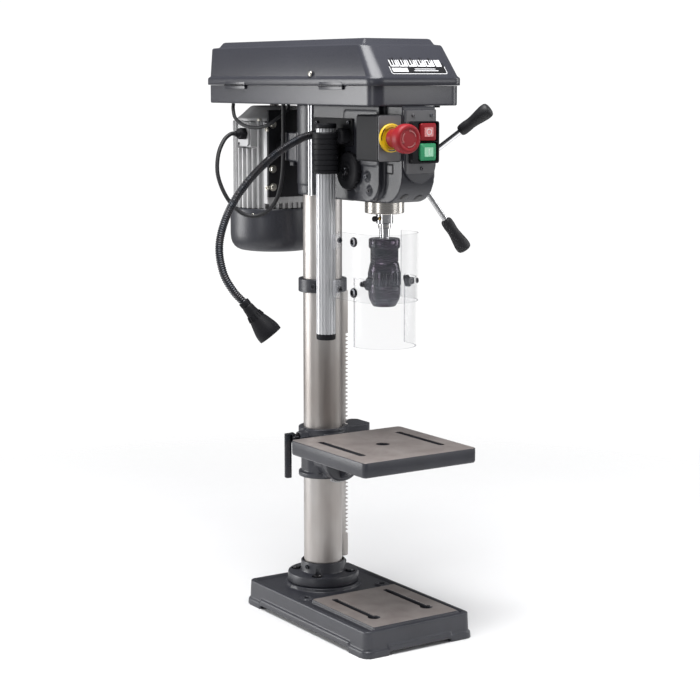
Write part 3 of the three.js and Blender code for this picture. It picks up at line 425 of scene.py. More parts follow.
def hose(path, radius_at, sides=20):
    """Tube along path whose radius is radius_at(distance in mm)."""
    points = []
    side = Vector((0, 0, 1)).cross(path[1] - path[0]).normalized()
    distance = 0.0
    for k, here in enumerate(path):
        ahead = path[min(k + 1, len(path) - 1)] - path[max(k - 1, 0)]
        ahead.normalize()
        side = (side - ahead * side.dot(ahead)).normalized()
        other = ahead.cross(side)
        if k:
            distance += (here - path[k - 1]).length
        r = radius_at(distance)
        for i in range(sides):
            t = 2 * math.pi * i / sides
            points.append(here + side * (r * math.cos(t)) + other * (r * math.sin(t)))
    return points, skin_faces(len(path), sides)


def angles(count, start=0.0):
    """Evenly spaced angles in radians."""
    return [2 * math.pi * k / count + start for k in range(count)]


def radial(t):
    """Level unit vector at angle t from +X."""
    return Vector((math.cos(t), math.sin(t), 0))


def cap_screw(r, height):
    """Socket-head screw standing on Z = 0."""
    return turned([
        (0, -0.4), (r, -0.4), (r, height - 0.5), (r - 0.5, height), (r * 0.52, height, "hex"),
        (r * 0.5, height * 0.45, "hex"), (0, height * 0.4),
    ], 24)


def pan_screw(r, height):
    """Cross-recess pan-head screw standing on Z = 0."""
    return turned([
        (0, -0.4), (r, -0.4), (r, height * 0.35), (r * 0.85, height * 0.8), (r * 0.6, height),
        (r * 0.55, height, "cross"), (r * 0.38, height * 0.35, "cross"), (0, height * 0.25),
    ], 32)


def hex_bolt(r, height, flange):
    """Hexagon head on a washer, standing on Z = 0."""
    return turned([
        (0, -0.3), (flange, -0.3), (flange, 1.4), (r + 0.6, 1.6), (r, 1.7, "hex"), (r, height, "hex"),
        (r * 0.93, height + 0.9), (0, height + 1.1),
    ], 48)


# ------------------------------------------------------------------ making pieces
SHARP = math.radians(38)


def settle(mesh, sharp=SHARP):
    """Outward faces, smooth shading, and creases only where the surface really turns."""
    made = bmesh.new()
    made.from_mesh(mesh)
    bmesh.ops.recalc_face_normals(made, faces=made.faces)
    for face in made.faces:
        face.smooth = True
    for edge in made.edges:
        edge.smooth = not edge.is_manifold or edge.calc_face_angle(0) < sharp
    made.to_mesh(mesh)
    made.free()


def piece(name, body, slot, shapes, replaces=(), bevel=0.0, look=None, segments=2):
    """One visible piece from shapes in mm, riding on a CAD body."""
    points, faces = [], []
    for shape in shapes if isinstance(shapes, list) else [shapes]:
        start = len(points)
        points += [Vector(p) * MM for p in shape[0]]
        faces += [tuple(start + i for i in face) for face in shape[1]]
    mesh = bpy.data.meshes.new(name)
    mesh.from_pydata(points, [], faces)
    settle(mesh)
    made = in_scene(name, mesh)
    mesh.materials.append(look or LOOKS[slot])
    if bevel:
        soften(made, bevel, segments)
    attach(made, body)
    if replaces:
        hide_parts(*replaces)
    return made


def soften(thing, width, segments=2):
    """Rounds the edges of a piece by width mm."""
    edge = thing.modifiers.new("rounded_edges", "BEVEL")
    edge.width = width * MM
    edge.segments = segments
    edge.limit_method = "ANGLE"
    edge.angle_limit = math.radians(32)
    edge.use_clamp_overlap = True
    edge.harden_normals = True


def bake_modifiers(thing):
    """Gives the piece the mesh that its modifiers make."""
    depsgraph = bpy.context.evaluated_depsgraph_get()
    depsgraph.update()
    made = bpy.data.meshes.new_from_object(thing.evaluated_get(depsgraph))
    thing.modifiers.clear()
    thing.data = made


def carve(thing, shapes):
    """Cuts each shape out of a piece."""
    tools = []
    for k, shape in enumerate(shapes):
        mesh = bpy.data.meshes.new(f"tool_{k}")
        mesh.from_pydata([Vector(p) * MM for p in shape[0]], [], shape[1])
        settle(mesh)
        tool = in_scene(f"tool_{k}", mesh)
        cutter = thing.modifiers.new(f"cut_{k}", "BOOLEAN")
        cutter.operation = "DIFFERENCE"
        cutter.solver = "EXACT"
        cutter.object = tool
        tools.append(tool)
    bake_modifiers(thing)
    for tool in tools:
        bpy.data.objects.remove(tool)
    settle(thing.data)


def casting(name, node_name, body, slot, extra=(), voxel=1.3, rounds=5, keep=0.4):
    """Copy of a CAD node joined with extra shapes and melted into one soft-edged casting."""
    cad = NODES[node_name].data
    points = [v.co / MM for v in cad.vertices]
    faces = [tuple(f.vertices) for f in cad.polygons]
    made = piece(name, body, slot, [(points, faces), *extra], (node_name,))
    weld = made.modifiers.new("weld", "WELD")
    weld.merge_threshold = 0.01 * MM
    melt = made.modifiers.new("melt", "REMESH")
    melt.mode = "VOXEL"
    melt.voxel_size = voxel * MM
    relax = made.modifiers.new("relax", "SMOOTH")
    relax.factor = 0.5
    relax.iterations = rounds
    thin = made.modifiers.new("thin", "DECIMATE")
    thin.ratio = keep
    bake_modifiers(made)
    for face in made.data.polygons:
        face.use_smooth = True


def dress(node_name, width=0.5, look=None):
    """Material and soft edges for a CAD node whose own shape is right."""
    thing = NODES[node_name]
    slot = next(s["material_slot"] for s in frame["record"]["subparts"] if s["node"] == node_name)
    thing.data.materials.clear()
    thing.data.materials.append(look or LOOKS[slot])
    for face in thing.data.polygons:
        face.use_smooth = True
    if width:
        weld = thing.modifiers.new("weld", "WELD")
        weld.merge_threshold = 0.005 * MM
        flat = thing.modifiers.new("flat_faces", "DECIMATE")
        flat.decimate_type = "DISSOLVE"
        flat.angle_limit = math.radians(1.0)
        soften(thing, width)


# ------------------------------------------------------------------ cords
def cord(name, node_name, route, diameter):
    """Round cable along a smooth route that leaves the object and goes back into it."""
    path = smooth_path(route, 8)
    curve = bpy.data.curves.new(name, "CURVE")
    curve.dimensions = "3D"
    curve.bevel_depth = diameter / 2 * MM
    curve.bevel_resolution = 4
    curve.use_fill_caps = True
    spline = curve.splines.new("POLY")
    spline.points.add(len(path) - 1)
    for point, here in zip(spline.points, path):
        point.co = (*(here * MM), 1.0)
    made = in_scene(name, curve)
    curve.materials.append(LOOKS["rubber"])
    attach(made, "frame")
    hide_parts(node_name)


HEAD_CABLE_ROUTE = [
    (-70, 150, 784.6), (-71, 149, 775), (-73.5, 137, 761), (-72, 112, 751), (-66, 86, 748),
    (-58, 63, 753), (-47, 54, 763), (-35, 49, 772), (-31.5, 48, 778), (-31, 48, 784.6),
]
MOTOR_CABLE_ROUTE = [
    (-82.6, 123, 738), (-91, 123, 737.5), (-104, 121, 728), (-117, 116, 706), (-122, 109, 676),
    (-114, 100, 645), (-98, 92, 622), (-80, 80, 612), (-62, 66, 618), (-50, 54, 638), (-44, 48, 668),
    (-42.6, 45, 700), (-42.5, 44, 735), (-42.5, 44, 765), (-42.5, 44, 784.6),
]
cord("tray_cable", "head_cable", HEAD_CABLE_ROUTE, 5.6)
cord("motor_lead", "motor_cable", MOTOR_CABLE_ROUTE, 6.4)


# ------------------------------------------------------------------ floor and light
def area_light(name, at, aim, size, power):
    data = bpy.data.lights.new(name, "AREA")
    data.shape = "RECTANGLE"
    data.size, data.size_y = size
    data.energy = power
    light = in_scene(name, data)
    light.location = at
    light.rotation_mode = "QUATERNION"
    light.rotation_quaternion = (Vector(aim) - Vector(at)).to_track_quat("-Z", "Y")


def fading_floor():
    """Pale floor that dissolves into the room's white with distance from the machine."""
    made = plain("pale_floor", (0.90, 0.90, 0.905), 0.75)
    tree = made.node_tree
    where = node(tree, "ShaderNodeTexCoord").outputs["Object"]
    far = node(tree, "ShaderNodeVectorMath", {0: where}, operation="LENGTH").outputs["Value"]
    grain = noise(tree, coordinates(tree), 3.0)
    fade = {"Value": far, "From Min": 0.5, "From Max": 1.7, "To Min": 1.0, "To Max": 0.0}
    share = node(tree, "ShaderNodeMapRange", fade, interpolation_type="SMOOTHSTEP").outputs["Result"]
    tree.links.new(share, tree.nodes["Principled BSDF"].inputs["Alpha"])
    return feed(made, roughness=ramp(tree, grain, 0.7, 0.8))


def room_light():
    """White room seen behind the machine, lighting it more dimly than it looks."""
    world = bpy.data.worlds.new("pale_room")
    bpy.context.scene.world = world
    world.use_nodes = True
    tree = world.node_tree
    dim = tree.nodes["Background"]
    dim.inputs["Color"].default_value = (0.96, 0.97, 1.0, 1.0)
    dim.inputs["Strength"].default_value = 0.2
    white = node(tree, "ShaderNodeBackground", {"Color": (1.0, 1.0, 1.0, 1.0), "Strength": 1.05})
    seen = node(tree, "ShaderNodeLightPath").outputs["Is Camera Ray"]
    mix = node(tree, "ShaderNodeMixShader", {0: seen, 1: dim.outputs[0], 2: white.outputs[0]})
    tree.links.new(mix.outputs[0], tree.nodes["World Output"].inputs["Surface"])


def make_stage():
    mesh = bpy.data.meshes.new("floor")
    half = 3.0
    corners = [(-half, -half, 0), (half, -half, 0), (half, half, 0), (-half, half, 0)]
    mesh.from_pydata(corners, [], [(0, 1, 2, 3)])
    floor = in_scene("floor", mesh)
    mesh.materials.append(fading_floor())
    room_light()
    area_light("key_left", (-1.9, 1.6, 0.62), (0, 0, 0.6), (1.2, 1.1), 36)
    area_light("fill_right", (1.9, -0.7, 1.1), (0, -0.1, 0.5), (0.5, 1.9), 14)
    area_light("front_right", (1.35, -2.35, 0.85), (0, -0.2, 0.8), (0.9, 0.5), 8)
    area_light("top", (-0.4, -0.5, 2.4), (0, -0.1, 0.2), (1.5, 1.5), 76)
    area_light("front_left", (-2.7, -1.0, 0.6), (0, 0, 0.4), (0.6, 0.9), 7)
    bpy.context.scene.view_settings.view_transform = "Standard"


make_stage()


# ------------------------------------------------------------------ base, column and rack
SPINDLE_Y = -168.0
ON_SPINDLE = (0, SPINDLE_Y, 0)
PAD_HALF, PAD_FRONT, PAD_BACK = 76.0, -254.0, -86.0
FLANGE_DISC_TOP = 57.0
BOLT_CIRCLE_R = 42.5


def long_hole(x, back, front, r, low, high):
    """Cutter for a slot with round ends, running front to back."""
    ends = arc((x, back), r, 0, 180, 10) + arc((x, front), r, 180, 360, 10)
    return prism(ends, low, high)


def base():
    casting("base_casting", "base", "frame", "cast_paint", voxel=1.5, rounds=3, keep=0.35)
    low, high = extent("base")
    inset = 1.2
    outline = rounded(-PAD_HALF + inset, PAD_HALF - inset, PAD_FRONT + inset, PAD_BACK - inset, 3.0, 4)
    pad = piece("base_pad_face", "frame", "machined_iron", prism(outline, high.z - 1.5, high.z + 0.12))
    slots = []
    for x in (-47, 47):
        slots.append(long_hole(x, -108, -208, 5.6, 30, 60))
        slots.append(prism(arc((x, -212), 9.6, 0, 345, 23), 30, 60))
    carve(pad, slots)
    soften(pad, 0.35)


def column_flange():
    bore, disc_r, tube_r = 30.3, 55.5, 34.7
    seat, top = 41.8, 74.6
    flange = piece("flange_casting", "frame", "cast_paint", turned([
        (bore + 0.5, seat + 0.3), (disc_r - 1.5, seat), (disc_r, seat + 1.5), (disc_r, 54),
        (disc_r - 1, 56.3), (disc_r - 3, FLANGE_DISC_TOP), (tube_r + 3.2, FLANGE_DISC_TOP + 0.3),
        (tube_r + 1, 58.2), (tube_r, 60.6), (tube_r, top - 1.8), (tube_r - 0.5, top - 0.5),
        (tube_r - 1.6, top), (bore + 1.8, top), (bore + 0.5, top - 4), (bore + 0.5, seat + 0.3),
    ], 128), ("column_flange",))
    pockets, bolts = [], []
    for angle in (45, 135, 225, 315):
        x = BOLT_CIRCLE_R * math.cos(math.radians(angle))
        y = BOLT_CIRCLE_R * math.sin(math.radians(angle))
        pocket = turned([(0, -3.0), (8.4, -3.0), (9.2, 9.0), (0, 9.0)], 40)
        pockets.append(placed(pocket, (x, y, FLANGE_DISC_TOP)))
        bolts.append(placed(hex_bolt(5.6, 5.0, 7.6), (x, y, FLANGE_DISC_TOP - 2.9), spin=angle))
    carve(flange, pockets)
    piece("flange_bolts", "frame", "black_steel", bolts)
    grub = [placed(cap_screw(3.4, 2.0), (tube_r * s, -8.0, 67.5), (s, -0.2, 0)) for s in (-1, 1)]
    piece("flange_grub_screws", "frame", "black_steel", grub)


def column_and_rack():
    low, high = extent("column")
    piece("column_tube", "frame", "ground_steel", turned([
        (26.5, low.z), (30.0, low.z), (30.0, high.z - 1), (29.0, high.z), (26.5, high.z), (26.5, low.z),
    ], 160), ("column",))
    dress("rack", 0.25)
    low, high = extent("rack_collar")
    r = 37.3
    piece("rack_collar_ring", "frame", "cast_paint", [
        turned([
            (30.3, low.z), (r - 1, low.z), (r, low.z + 1), (r, high.z - 1), (r - 1, high.z), (31.2, high.z),
            (30.3, high.z - 1), (30.3, low.z),
        ], 128),
        placed(cap_screw(4.2, 3.5), (-30.2, -21.6, (low.z + high.z) / 2), (-0.81, -0.58, 0)),
    ], ("rack_collar",))


base()
column_flange()
column_and_rack()


# ------------------------------------------------------------------ table and its lift
TRUNNION_Z = 243.0
LEVER_X, LEVER_Y = -68.0, -7.0
WORM_Y, WORM_Z = 14.0, 235.0


def table_group():
    low, high = extent("table")
    half, top = high.x, high.z
    centre_y = low.y + half
    hole = (0, centre_y)

    def ring(inset, r, z):
        outline = rounded(-half + inset, half - inset, low.y + inset, low.y + 2 * half - inset, r, 6)
        return [(x, y, z) for x, y in outline]

    plate = loft([
        ring(2.0, 5, top - 22), ring(0.5, 6.5, top - 20.5), ring(0, 7, top - 18), ring(0, 7, top - 1.6),
        ring(0.4, 6.6, top - 0.6), ring(1.3, 6, top - 0.15), ring(3.0, 5, top - 0.15),
    ])
    body = piece("table_casting", "table", "cast_paint", plate, ("table",))
    pocket = loft([ring(9, 6, top - 24), ring(12, 6, top - 12)])
    carve(body, [pocket])
    slots = [long_hole(x, -106, -215, 5.5, 200, 300) for x in (-70, 70)]
    through = placed(cylinder(10.5, 0, 100, 48), (*hole, 200))
    web = prism([
        (-60, 215), (-60, top - 11), (-240, top - 11), (-240, top - 20), (-210, top - 23), (-130, top - 30),
    ], -7, 7, "x")
    ribs = [
        prism(rounded(-half + 8, half - 8, centre_y + s - 3, centre_y + s + 3, 1, 1), top - 20, top - 11)
        for s in (-42, 42)
    ]
    boss = placed(turned([(0, -2), (51, -2), (53, 0), (53.5, 18), (0, 18)], 96), (*hole, top - 28))
    disc = turned([(0, 0), (31, 0), (33, 2), (33, 16.7), (0, 16.7)], 96)
    under = piece("table_underside", "table", "cast_paint", [web, *ribs], bevel=0.8)
    round_boss = piece("table_boss", "table", "cast_paint", boss)
    disc_at = (0, -61, TRUNNION_Z)
    trunnion = piece("table_trunnion", "table", "cast_paint", placed(disc, disc_at, BACK), bevel=0.8)
    carve(body, [*slots, through])
    carve(round_boss, [*slots, through])
    bracket_room = block((-20, -62, 268), (20, -40, top + 1))
    carve(under, [through, *slots, bracket_room])
    carve(trunnion, [bracket_room])
    face = piece("table_face", "table", "machined_iron", loft([
        ring(1.0, 6, top - 1.4), ring(1.0, 6, top - 0.3), ring(1.5, 5.6, top),
    ]))
    carve(face, [*slots, through])
    for part in (body, face):
        soften(part, 0.3)


def tilt_fittings():
    bolt = placed(hex_bolt(8.5, 7.5, 13), (0, -62, TRUNNION_Z), FRONT)
    piece("tilt_bolt", "table", "black_steel", bolt)
    pivot = (0, TRUNNION_Z)
    scale = prism(arc(pivot, 37.5, -64, -116, 20) + arc(pivot, 31.5, -116, -64, 20), -46.4, -45.2, "y")
    ticks = []
    for k in range(-4, 5):
        outer_r = 36.6 if k % 2 == 0 else 34.6
        mark = prism([(-0.25, 32.2), (0.25, 32.2), (0.25, outer_r), (-0.25, 36.0)], 0, 0.4)
        turn = Matrix.Rotation(math.radians(-90 + 5 * k) - math.pi / 2, 4, "Z")
        rows = [turn @ Vector(p) for p in mark[0]]
        ticks.append(([(p.x, -46.9 + p.z, TRUNNION_Z + p.y) for p in rows], mark[1]))
    piece("tilt_scale", "bracket", "aluminium", scale)
    piece("tilt_scale_marks", "bracket", "black_plastic", ticks)


def clamp_ring(z, height):
    """Ring of the bracket that holds the column."""
    return placed(turned([
        (30.3, 0), (37, 0), (38, 1), (38, height - 1), (37, height), (30.3, height), (30.3, 0),
    ], 96), (0, 0, z))


def bracket_and_lever():
    rings = [clamp_ring(277.7, 10), clamp_ring(209.6, 7.6)]
    casting("bracket_casting", "table_bracket", "bracket", "cast_paint", rings, 1.2, 5, 0.45)
    dress("table_gear", 0.2)
    bar = rounded(LEVER_X - 5, LEVER_X + 5, LEVER_Y - 5, LEVER_Y + 5, 3.6, 4)
    hub = turned([(0, 0), (8, 0), (8, 5.5), (6.5, 7), (5, 7), (5, 33), (4, 36), (0, 36)], 32)
    shapes = [prism(bar, 214.2, 283), placed(hub, (LEVER_X + 4, LEVER_Y, 276), RIGHT)]
    piece("lock_lever", "lock", "black_steel", shapes, ("table_lock",), bevel=0.8)


def table_crank():
    arm_y = WORM_Y - 55
    ends = arc((WORM_Y, WORM_Z), 9.5, -90, 90, 12) + arc((arm_y, WORM_Z), 8, 90, 270, 12)
    hub = turned([
        (0, 0), (5, 0), (5, 49), (10, 49), (10.3, 50), (10.3, 60), (9.5, 61), (4, 61), (4, 60), (0, 60),
    ], 40)
    shapes = [prism(ends, 86.5, 92.5, "x"), placed(hub, (35, WORM_Y, WORM_Z), RIGHT)]
    rib = turned([(0, 0), (5, 0), (7, 1.3), (7, 1.7), (5, 3), (0, 3)], 32)
    shapes += [placed(rib, (40 + 3 * k, WORM_Y, WORM_Z), RIGHT) for k in range(8)]
    piece("crank_arm", "crank", "black_steel", shapes, ("table_crank",), bevel=0.5)
    knob = placed(turned([
        (0, 0), (5.5, 0), (6, 0.8), (5.6, 3.5), (7.2, 8), (8.2, 17), (8.2, 26), (7.0, 35), (4.6, 39.6),
        (2.4, 41), (0, 41),
    ], 48), (92, arm_y, WORM_Z), RIGHT)
    piece("crank_handle", "crank", "black_plastic", knob)
    cap = turned([(0, 0), (9.5, 0), (9.5, 1.6), (8.6, 2.4), (5.5, 2.4), (5.5, 1.2), (0, 1.2)], 48)
    piece("gear_box_cap", "bracket", "cast_paint", placed(cap, (52.8, 28, 258), BACK))


table_group()
tilt_fittings()
bracket_and_lever()
table_crank()


# ------------------------------------------------------------------ head casting and its fittings
HEAD_SCREWS = ((-181, 684, 3.4, 2.4), (-153, 668, 3.4, 2.4), (-186, 664, 2.6, 2.0))
FRONT_PLATE_Y = -252.5


def head_group():
    sleeve = washer(30.6, 38.5, 665, 784.4, 128)
    collar = turned([
        (30.6, 648), (36.6, 648), (37.4, 652), (37.4, 662), (38.5, 668), (30.6, 668), (30.6, 648),
    ], 128)
    nose_plate = prism(rounded(-206, -120, 700, 777, 4, 3), -39.2, -36, "x")
    clamp = block((-30.0, 36, 690), (30.0, 47, 730))
    extra = [sleeve, collar, nose_plate, clamp]
    for (y, z, _, _), r in zip(HEAD_SCREWS, (3.2, 3.2, 2.6)):
        boss = turned([(0, -6), (r + 3.5, -6), (r + 3, 2.0), (r + 2, 3.2), (0, 3.2)], 40)
        extra.append(placed(boss, (-38.0, y, z), LEFT))
    casting("head_casting", "head", "frame", "cast_paint", extra, 1.5, 4, 0.35)
    screws = [placed(cap_screw(r, height), (-40.6, y, z), LEFT) for y, z, r, height in HEAD_SCREWS]
    screws += [placed(cap_screw(4.6, 5.0), (x, 47, z), BACK) for x in (-17, 17) for z in (700, 722)]
    piece("head_screws", "frame", "black_steel", screws)
    # Painted highlight: two thin bright aluminium strips on the head's left side stand for the highlights
    # along the casting's edges there, partly also bare worn edge metal.
    edge_highlight_strips = [prism(rounded(y, y + 2.8, 648, 784, 1.2, 3), -40.4, -37.6, "x") for y in (-33.4, -26.4)]
    piece("head_edge_highlight_strips", "frame", "ground_steel", edge_highlight_strips, look=EXTRUDED)
    lens = prism(rounded(-229, -217, 691, 701, 1, 3), -29.2, -28.0, "x")
    frame_ring = prism(rounded(-231.5, -214.5, 688.5, 703.5, 2, 3), -28.9, -27.8, "x")
    piece("depth_window_frame", "frame", "black_plastic", frame_ring, bevel=0.3)
    piece("depth_window", "frame", "clear_sheet", lens, look=GREY_PLATE, bevel=0.3)
    # Painted shade: flat black discs, nearly flush, stand for the two screw recesses on the nose, which lie
    # dark in shade.
    recess_shade_discs = []
    for x, angle in ((-13, 232), (13, 236)):
        t = math.radians(angle)
        out = Vector((0, math.cos(t), math.sin(t)))
        recess_shade_disc = turned([(0, 0.3), (6.2, 0.3), (6.8, -0.1), (6.8, -2.5), (0, -2.5)], 40)
        recess_shade_discs.append(placed(recess_shade_disc, Vector((x, -210.5, 689.0)) + out * 42.1, out))
    piece("nose_recess_shade_discs", "frame", "black_plastic", recess_shade_discs, look=PLATE_BLACK)


def switch_group():
    front = FRONT_PLATE_Y
    w = 27.5
    outline = [(-w, 780), (-w, 704), *arc((0, 704), w, 180, 360, 32)[1:], (w, 780)]
    panel = prism(outline, front - 4, front - 0.3, "y")
    piece("switch_panel", "frame", "cast_paint", panel, ("switch_plate",), bevel=0.9)
    step = prism(rounded(-24.5, 24.5, 690.5, 779, 1, 2), front - 5.0, front - 3.6, "y")
    piece("switch_panel_step", "frame", "cast_paint", step, bevel=0.5, look=GREY_PLATE)
    screw = turned([
        (0, -0.4), (2.6, -0.4), (2.6, 0.9), (2.1, 1.5), (1.2, 1.5, "hex"), (1.1, 0.3, "hex"), (0, 0.3),
    ], 24)
    screws = [placed(screw, (x, front - 5.0, z), FRONT) for x, z in ((-13, 772), (18, 772), (2, 697.5))]
    piece("switch_panel_screws", "frame", "black_steel", screws)
    low, high = extent("switch_bezel")
    shell = piece("switch_frame", "frame", "black_plastic", prism(
        rounded(low.x, high.x, low.z, high.z, 3.5, 5), low.y, high.y, "y"), ("switch_bezel",))
    wells = [
        prism(rounded(low.x + 9.8, high.x - 2.8, z0, z1, 1.4, 3), low.y - 1, high.y - 2.5, "y")
        for z0, z1 in ((low.z + 30.6, low.z + 57.2), (low.z + 2.8, low.z + 29.4))
    ]
    carve(shell, wells)
    soften(shell, 0.7, 3)


def switch_keys():
    for name, node_name, body, slot, light in (
        ("stop_key", "stop_button", "stop", "signal_red", RED_LIGHT),
        ("start_key", "start_button", "start", "signal_green", GREEN_LIGHT),
    ):
        lo, hi = extent(node_name)
        rim = [
            [(x, y, z) for x, z in rounded(lo.x + g, hi.x - g, lo.z + g, hi.z - g, 2.2, 5)]
            for g, y in ((0, hi.y), (0, lo.y + 2.2), (0.5, lo.y + 1.2), (5.2, lo.y + 0.2), (5.6, lo.y + 0.6))
        ]
        piece(name, body, slot, loft(rim), (node_name,))
        cx, cz = (lo.x + hi.x) / 2, (lo.z + hi.z) / 2
        edge = 5.4
        outline = rounded(lo.x + edge, hi.x - edge, lo.z + edge, hi.z - edge, 1.0, 3)
        window = prism(outline, lo.y + 0.1, lo.y + 1.4, "y")
        piece(name + "_window", body, slot, window, look=light, bevel=0.3)
        if node_name == "stop_button":
            mark = placed(washer(3.6, 4.4, 0, 0.35, 32), (cx, lo.y + 0.2, cz), FRONT)
        else:
            mark = block((cx - 0.4, lo.y - 0.12, cz - 4.2), (cx + 0.4, lo.y + 0.3, cz + 4.2))
        piece(name + "_mark", body, slot, mark, look=PLATE_WHITE)


def estop_group():
    front = FRONT_PLATE_Y
    left, right, back, bottom, top = -68.5, -29.2, -197.0, 708.0, 773.0
    x, z = -48.0, 741.0

    def box_outline(grow, right_grow):
        return rounded(left - grow, right + right_grow, bottom - grow, top + grow, 3.0, 5)

    def facing(shape, lift=0.0):
        return placed(shape, (x, front - lift, z), FRONT)

    shell = prism(box_outline(0, 0), front + 2.2, back, "y")
    box = piece("estop_housing", "frame", "black_plastic", shell, ("estop_box",))
    clearance = block((-38.3, -209.3, bottom - 1), (right + 1, back + 1, top + 1))
    hole = placed(cylinder(9.5, 0, 30, 32), (x, front - 1, z), BACK)
    carve(box, [clearance, hole])
    soften(box, 0.9, 3)
    face = prism(box_outline(-0.7, -0.5), front + 0.1, front + 2.6, "y")
    plate = piece("estop_front", "frame", "black_plastic", face, look=GREY_PLATE)
    carve(plate, [hole])
    soften(plate, 0.6)
    seam = prism(box_outline(0.3, 0.1), front + 2.5, front + 3.4, "y")
    piece("estop_seal", "frame", "rubber", seam)
    ring = turned([
        (14.8, 0), (20, 0), (20, 2.2), (19, 3.2), (15.5, 3.2), (14.8, 2.4), (14.8, 0),
    ], 64)
    piece("estop_collar", "frame", "signal_yellow", facing(ring, 0.2), ("estop_ring",))
    dashes = []
    for k in range(3):
        a, b = 120 * k + 10, 120 * k + 70
        outline = arc((0, 0), 18.2, a, b, 10) + arc((0, 0), 16.6, b, a, 10)
        dashes.append(facing(prism(outline, 0, 0.3), 3.3))
    piece("estop_collar_arrows", "frame", "signal_yellow", dashes, look=PLATE_BLACK)
    head = turned([
        (0, -14), (8, -14), (8, 6), (13.4, 7.5), (13.4, 12), (14.2, 22), (17.5, 26.5), (20.0, 30.5),
        (20.5, 34), (20.5, 41), (19.8, 43.6), (18.2, 45.4), (16.4, 46.0), (13.8, 45.6), (13.2, 45.0),
        (0, 45.4),
    ], 96)
    piece("estop_mushroom", "estop", "signal_red", facing(head), ("estop_button",))
    sleeve = turned([(9.6, -0.2), (15.2, -0.2), (15.2, 1.8), (9.6, 2.2), (9.6, -0.2)], 64)
    piece("estop_inner_collar", "frame", "signal_yellow", facing(sleeve))
    arrows = []
    for k in range(3):
        start = 120 * k + 15
        band = arc((0, 0), 11.8, start, start + 72, 12) + arc((0, 0), 10.4, start + 72, start, 12)
        tip = [
            (r * math.cos(math.radians(start + turn)), r * math.sin(math.radians(start + turn)))
            for r, turn in ((11.1, 78), (13.2, 66), (9.0, 66))
        ]
        arrows += [facing(prism(outline, 0, 0.45), 45.2) for outline in (band, tip)]
    arrow_red = moulded("arrow_red", (0.42, 0.12, 0.12), 0.4, 0.05)
    piece("estop_arrows", "estop", "signal_red", arrows, look=arrow_red)


head_group()
switch_group()
switch_keys()
estop_group()


# ------------------------------------------------------------------ quill, chuck and feed
PINION_Y, PINION_Z = -137.0, 690.0
ON_PINION = (0, PINION_Y, PINION_Z)


def quill_group():
    low, high = extent("quill_collar")
    r = 28.7
    ring = turned([
        (23.3, low.z), (r - 1.2, low.z), (r, low.z + 1.0), (r, high.z - 1.0), (r - 1.0, high.z),
        (23.3, high.z), (23.3, low.z),
    ], 128)
    at = ON_SPINDLE
    piece("quill_stop_collar", "quill", "ground_steel", placed(ring, at), ("quill_collar",), look=TURNED)
    dress("quill", 0.3, TURNED)
    for name in ("bearing_lower", "bearing_upper"):
        dress(name, 0.2)
    quill_nose = turned([(12.8, 628.4), (22.6, 628.4), (23, 629), (23, 632), (12.8, 632), (12.8, 628.4)], 96)
    piece("quill_end_ring", "quill", "ground_steel", placed(quill_nose, at), look=TURNED)
    piece("spindle_nose", "spindle", "chrome", placed(turned([
        (0, 572), (7, 572), (7.4, 594.2), (7.5, 606.7), (8.6, 606.7), (9.1, 607.3), (9.1, 613.8),
        (8.6, 614.4), (12.0, 614.4), (12.5, 615), (12.5, 628.2), (9.9, 628.8), (9.9, 849.4), (9.3, 850),
        (0, 850),
    ], 64), at), ("spindle",))
    groove = washer(9.2, 9.5, 609.8, 611.2, 48)
    piece("spindle_ring", "spindle", "chrome", placed(groove, at), look=TURNED)
    screw_way = (-1, -0.35, 0)
    screw = placed(cylinder(2.4, 0, 6.5, 24), (-12.4, SPINDLE_Y - 4, 622.0), screw_way)
    piece("drift_screw", "spindle", "black_steel", screw, look=BRASS)
    knob = turned([(0, 0), (3.6, 0), (4.0, 0.8, "knurl"), (4.0, 6, "knurl"), (3.2, 7), (0, 7)], 72)
    knob = placed(knob, (-18.0, SPINDLE_Y - 6, 622.0), screw_way)
    piece("drift_screw_knob", "spindle", "black_plastic", knob)


def chuck_group():
    at = ON_SPINDLE
    upper = turned([
        (8.2, 592.4), (20.8, 592.6), (22.2, 592.0), (23.0, 590.4), (23.0, 580.4), (22.2, 578.4),
        (20.7, 577.6), (20.5, 576.8), (20.5, 559.4), (20.1, 558.5), (15.1, 558.5), (15.1, 499.2),
        (8.2, 499.2), (8.2, 548), (8.2, 592.4),
    ], 128)
    blued = black_oxide("blued_steel", 0.24, (0.052, 0.034, 0.056))
    piece("chuck_shell", "spindle", "black_steel", placed(upper, at), ("chuck_body",), look=blued)
    sleeve = turned([
        (15.4, 493.3), (16.3, 493.1), (17.2, 494.2), (20.6, 500.4), (22.2, 503.6), (23.2, 509.5),
        (23.5, 515), (23.5, 520.4), (23.1, 520.9), (23.1, 521.9), (23.5, 522.4), (23.5, 544.6),
        (23.2, 546.2), (21.2, 555.4), (20.4, 557.4), (19.8, 557.9), (15.4, 557.9), (15.4, 493.3),
    ], 128)
    turning, steel = "chuck_sleeve", "black_steel"
    piece("chuck_grip_sleeve", turning, steel, placed(sleeve, at), ("chuck_sleeve",), look=blued)
    knurls = turned([
        (23.3, 524), (23.62, 524.6, "knurl"), (23.62, 543, "knurl"), (23.3, 543.6), (23.0, 543.6),
        (23.0, 524), (23.3, 524),
    ], 288)
    piece("chuck_grip_band", turning, steel, placed(knurls, at), look=black_oxide("chuck_band", 0.36))
    jaws = []
    jaw = turned([(0, 0), (2.7, 0), (3.6, 6), (3.6, 30), (0, 30)], 16)
    for out in (radial(t) for t in angles(3, 0.4)):
        jaws.append(placed(jaw, Vector((0, SPINDLE_Y, 495.5)) + out * 3.0, out * 0.12 + Vector(UP)))
    piece("chuck_jaws", "spindle", "ground_steel", jaws, look=TURNED)


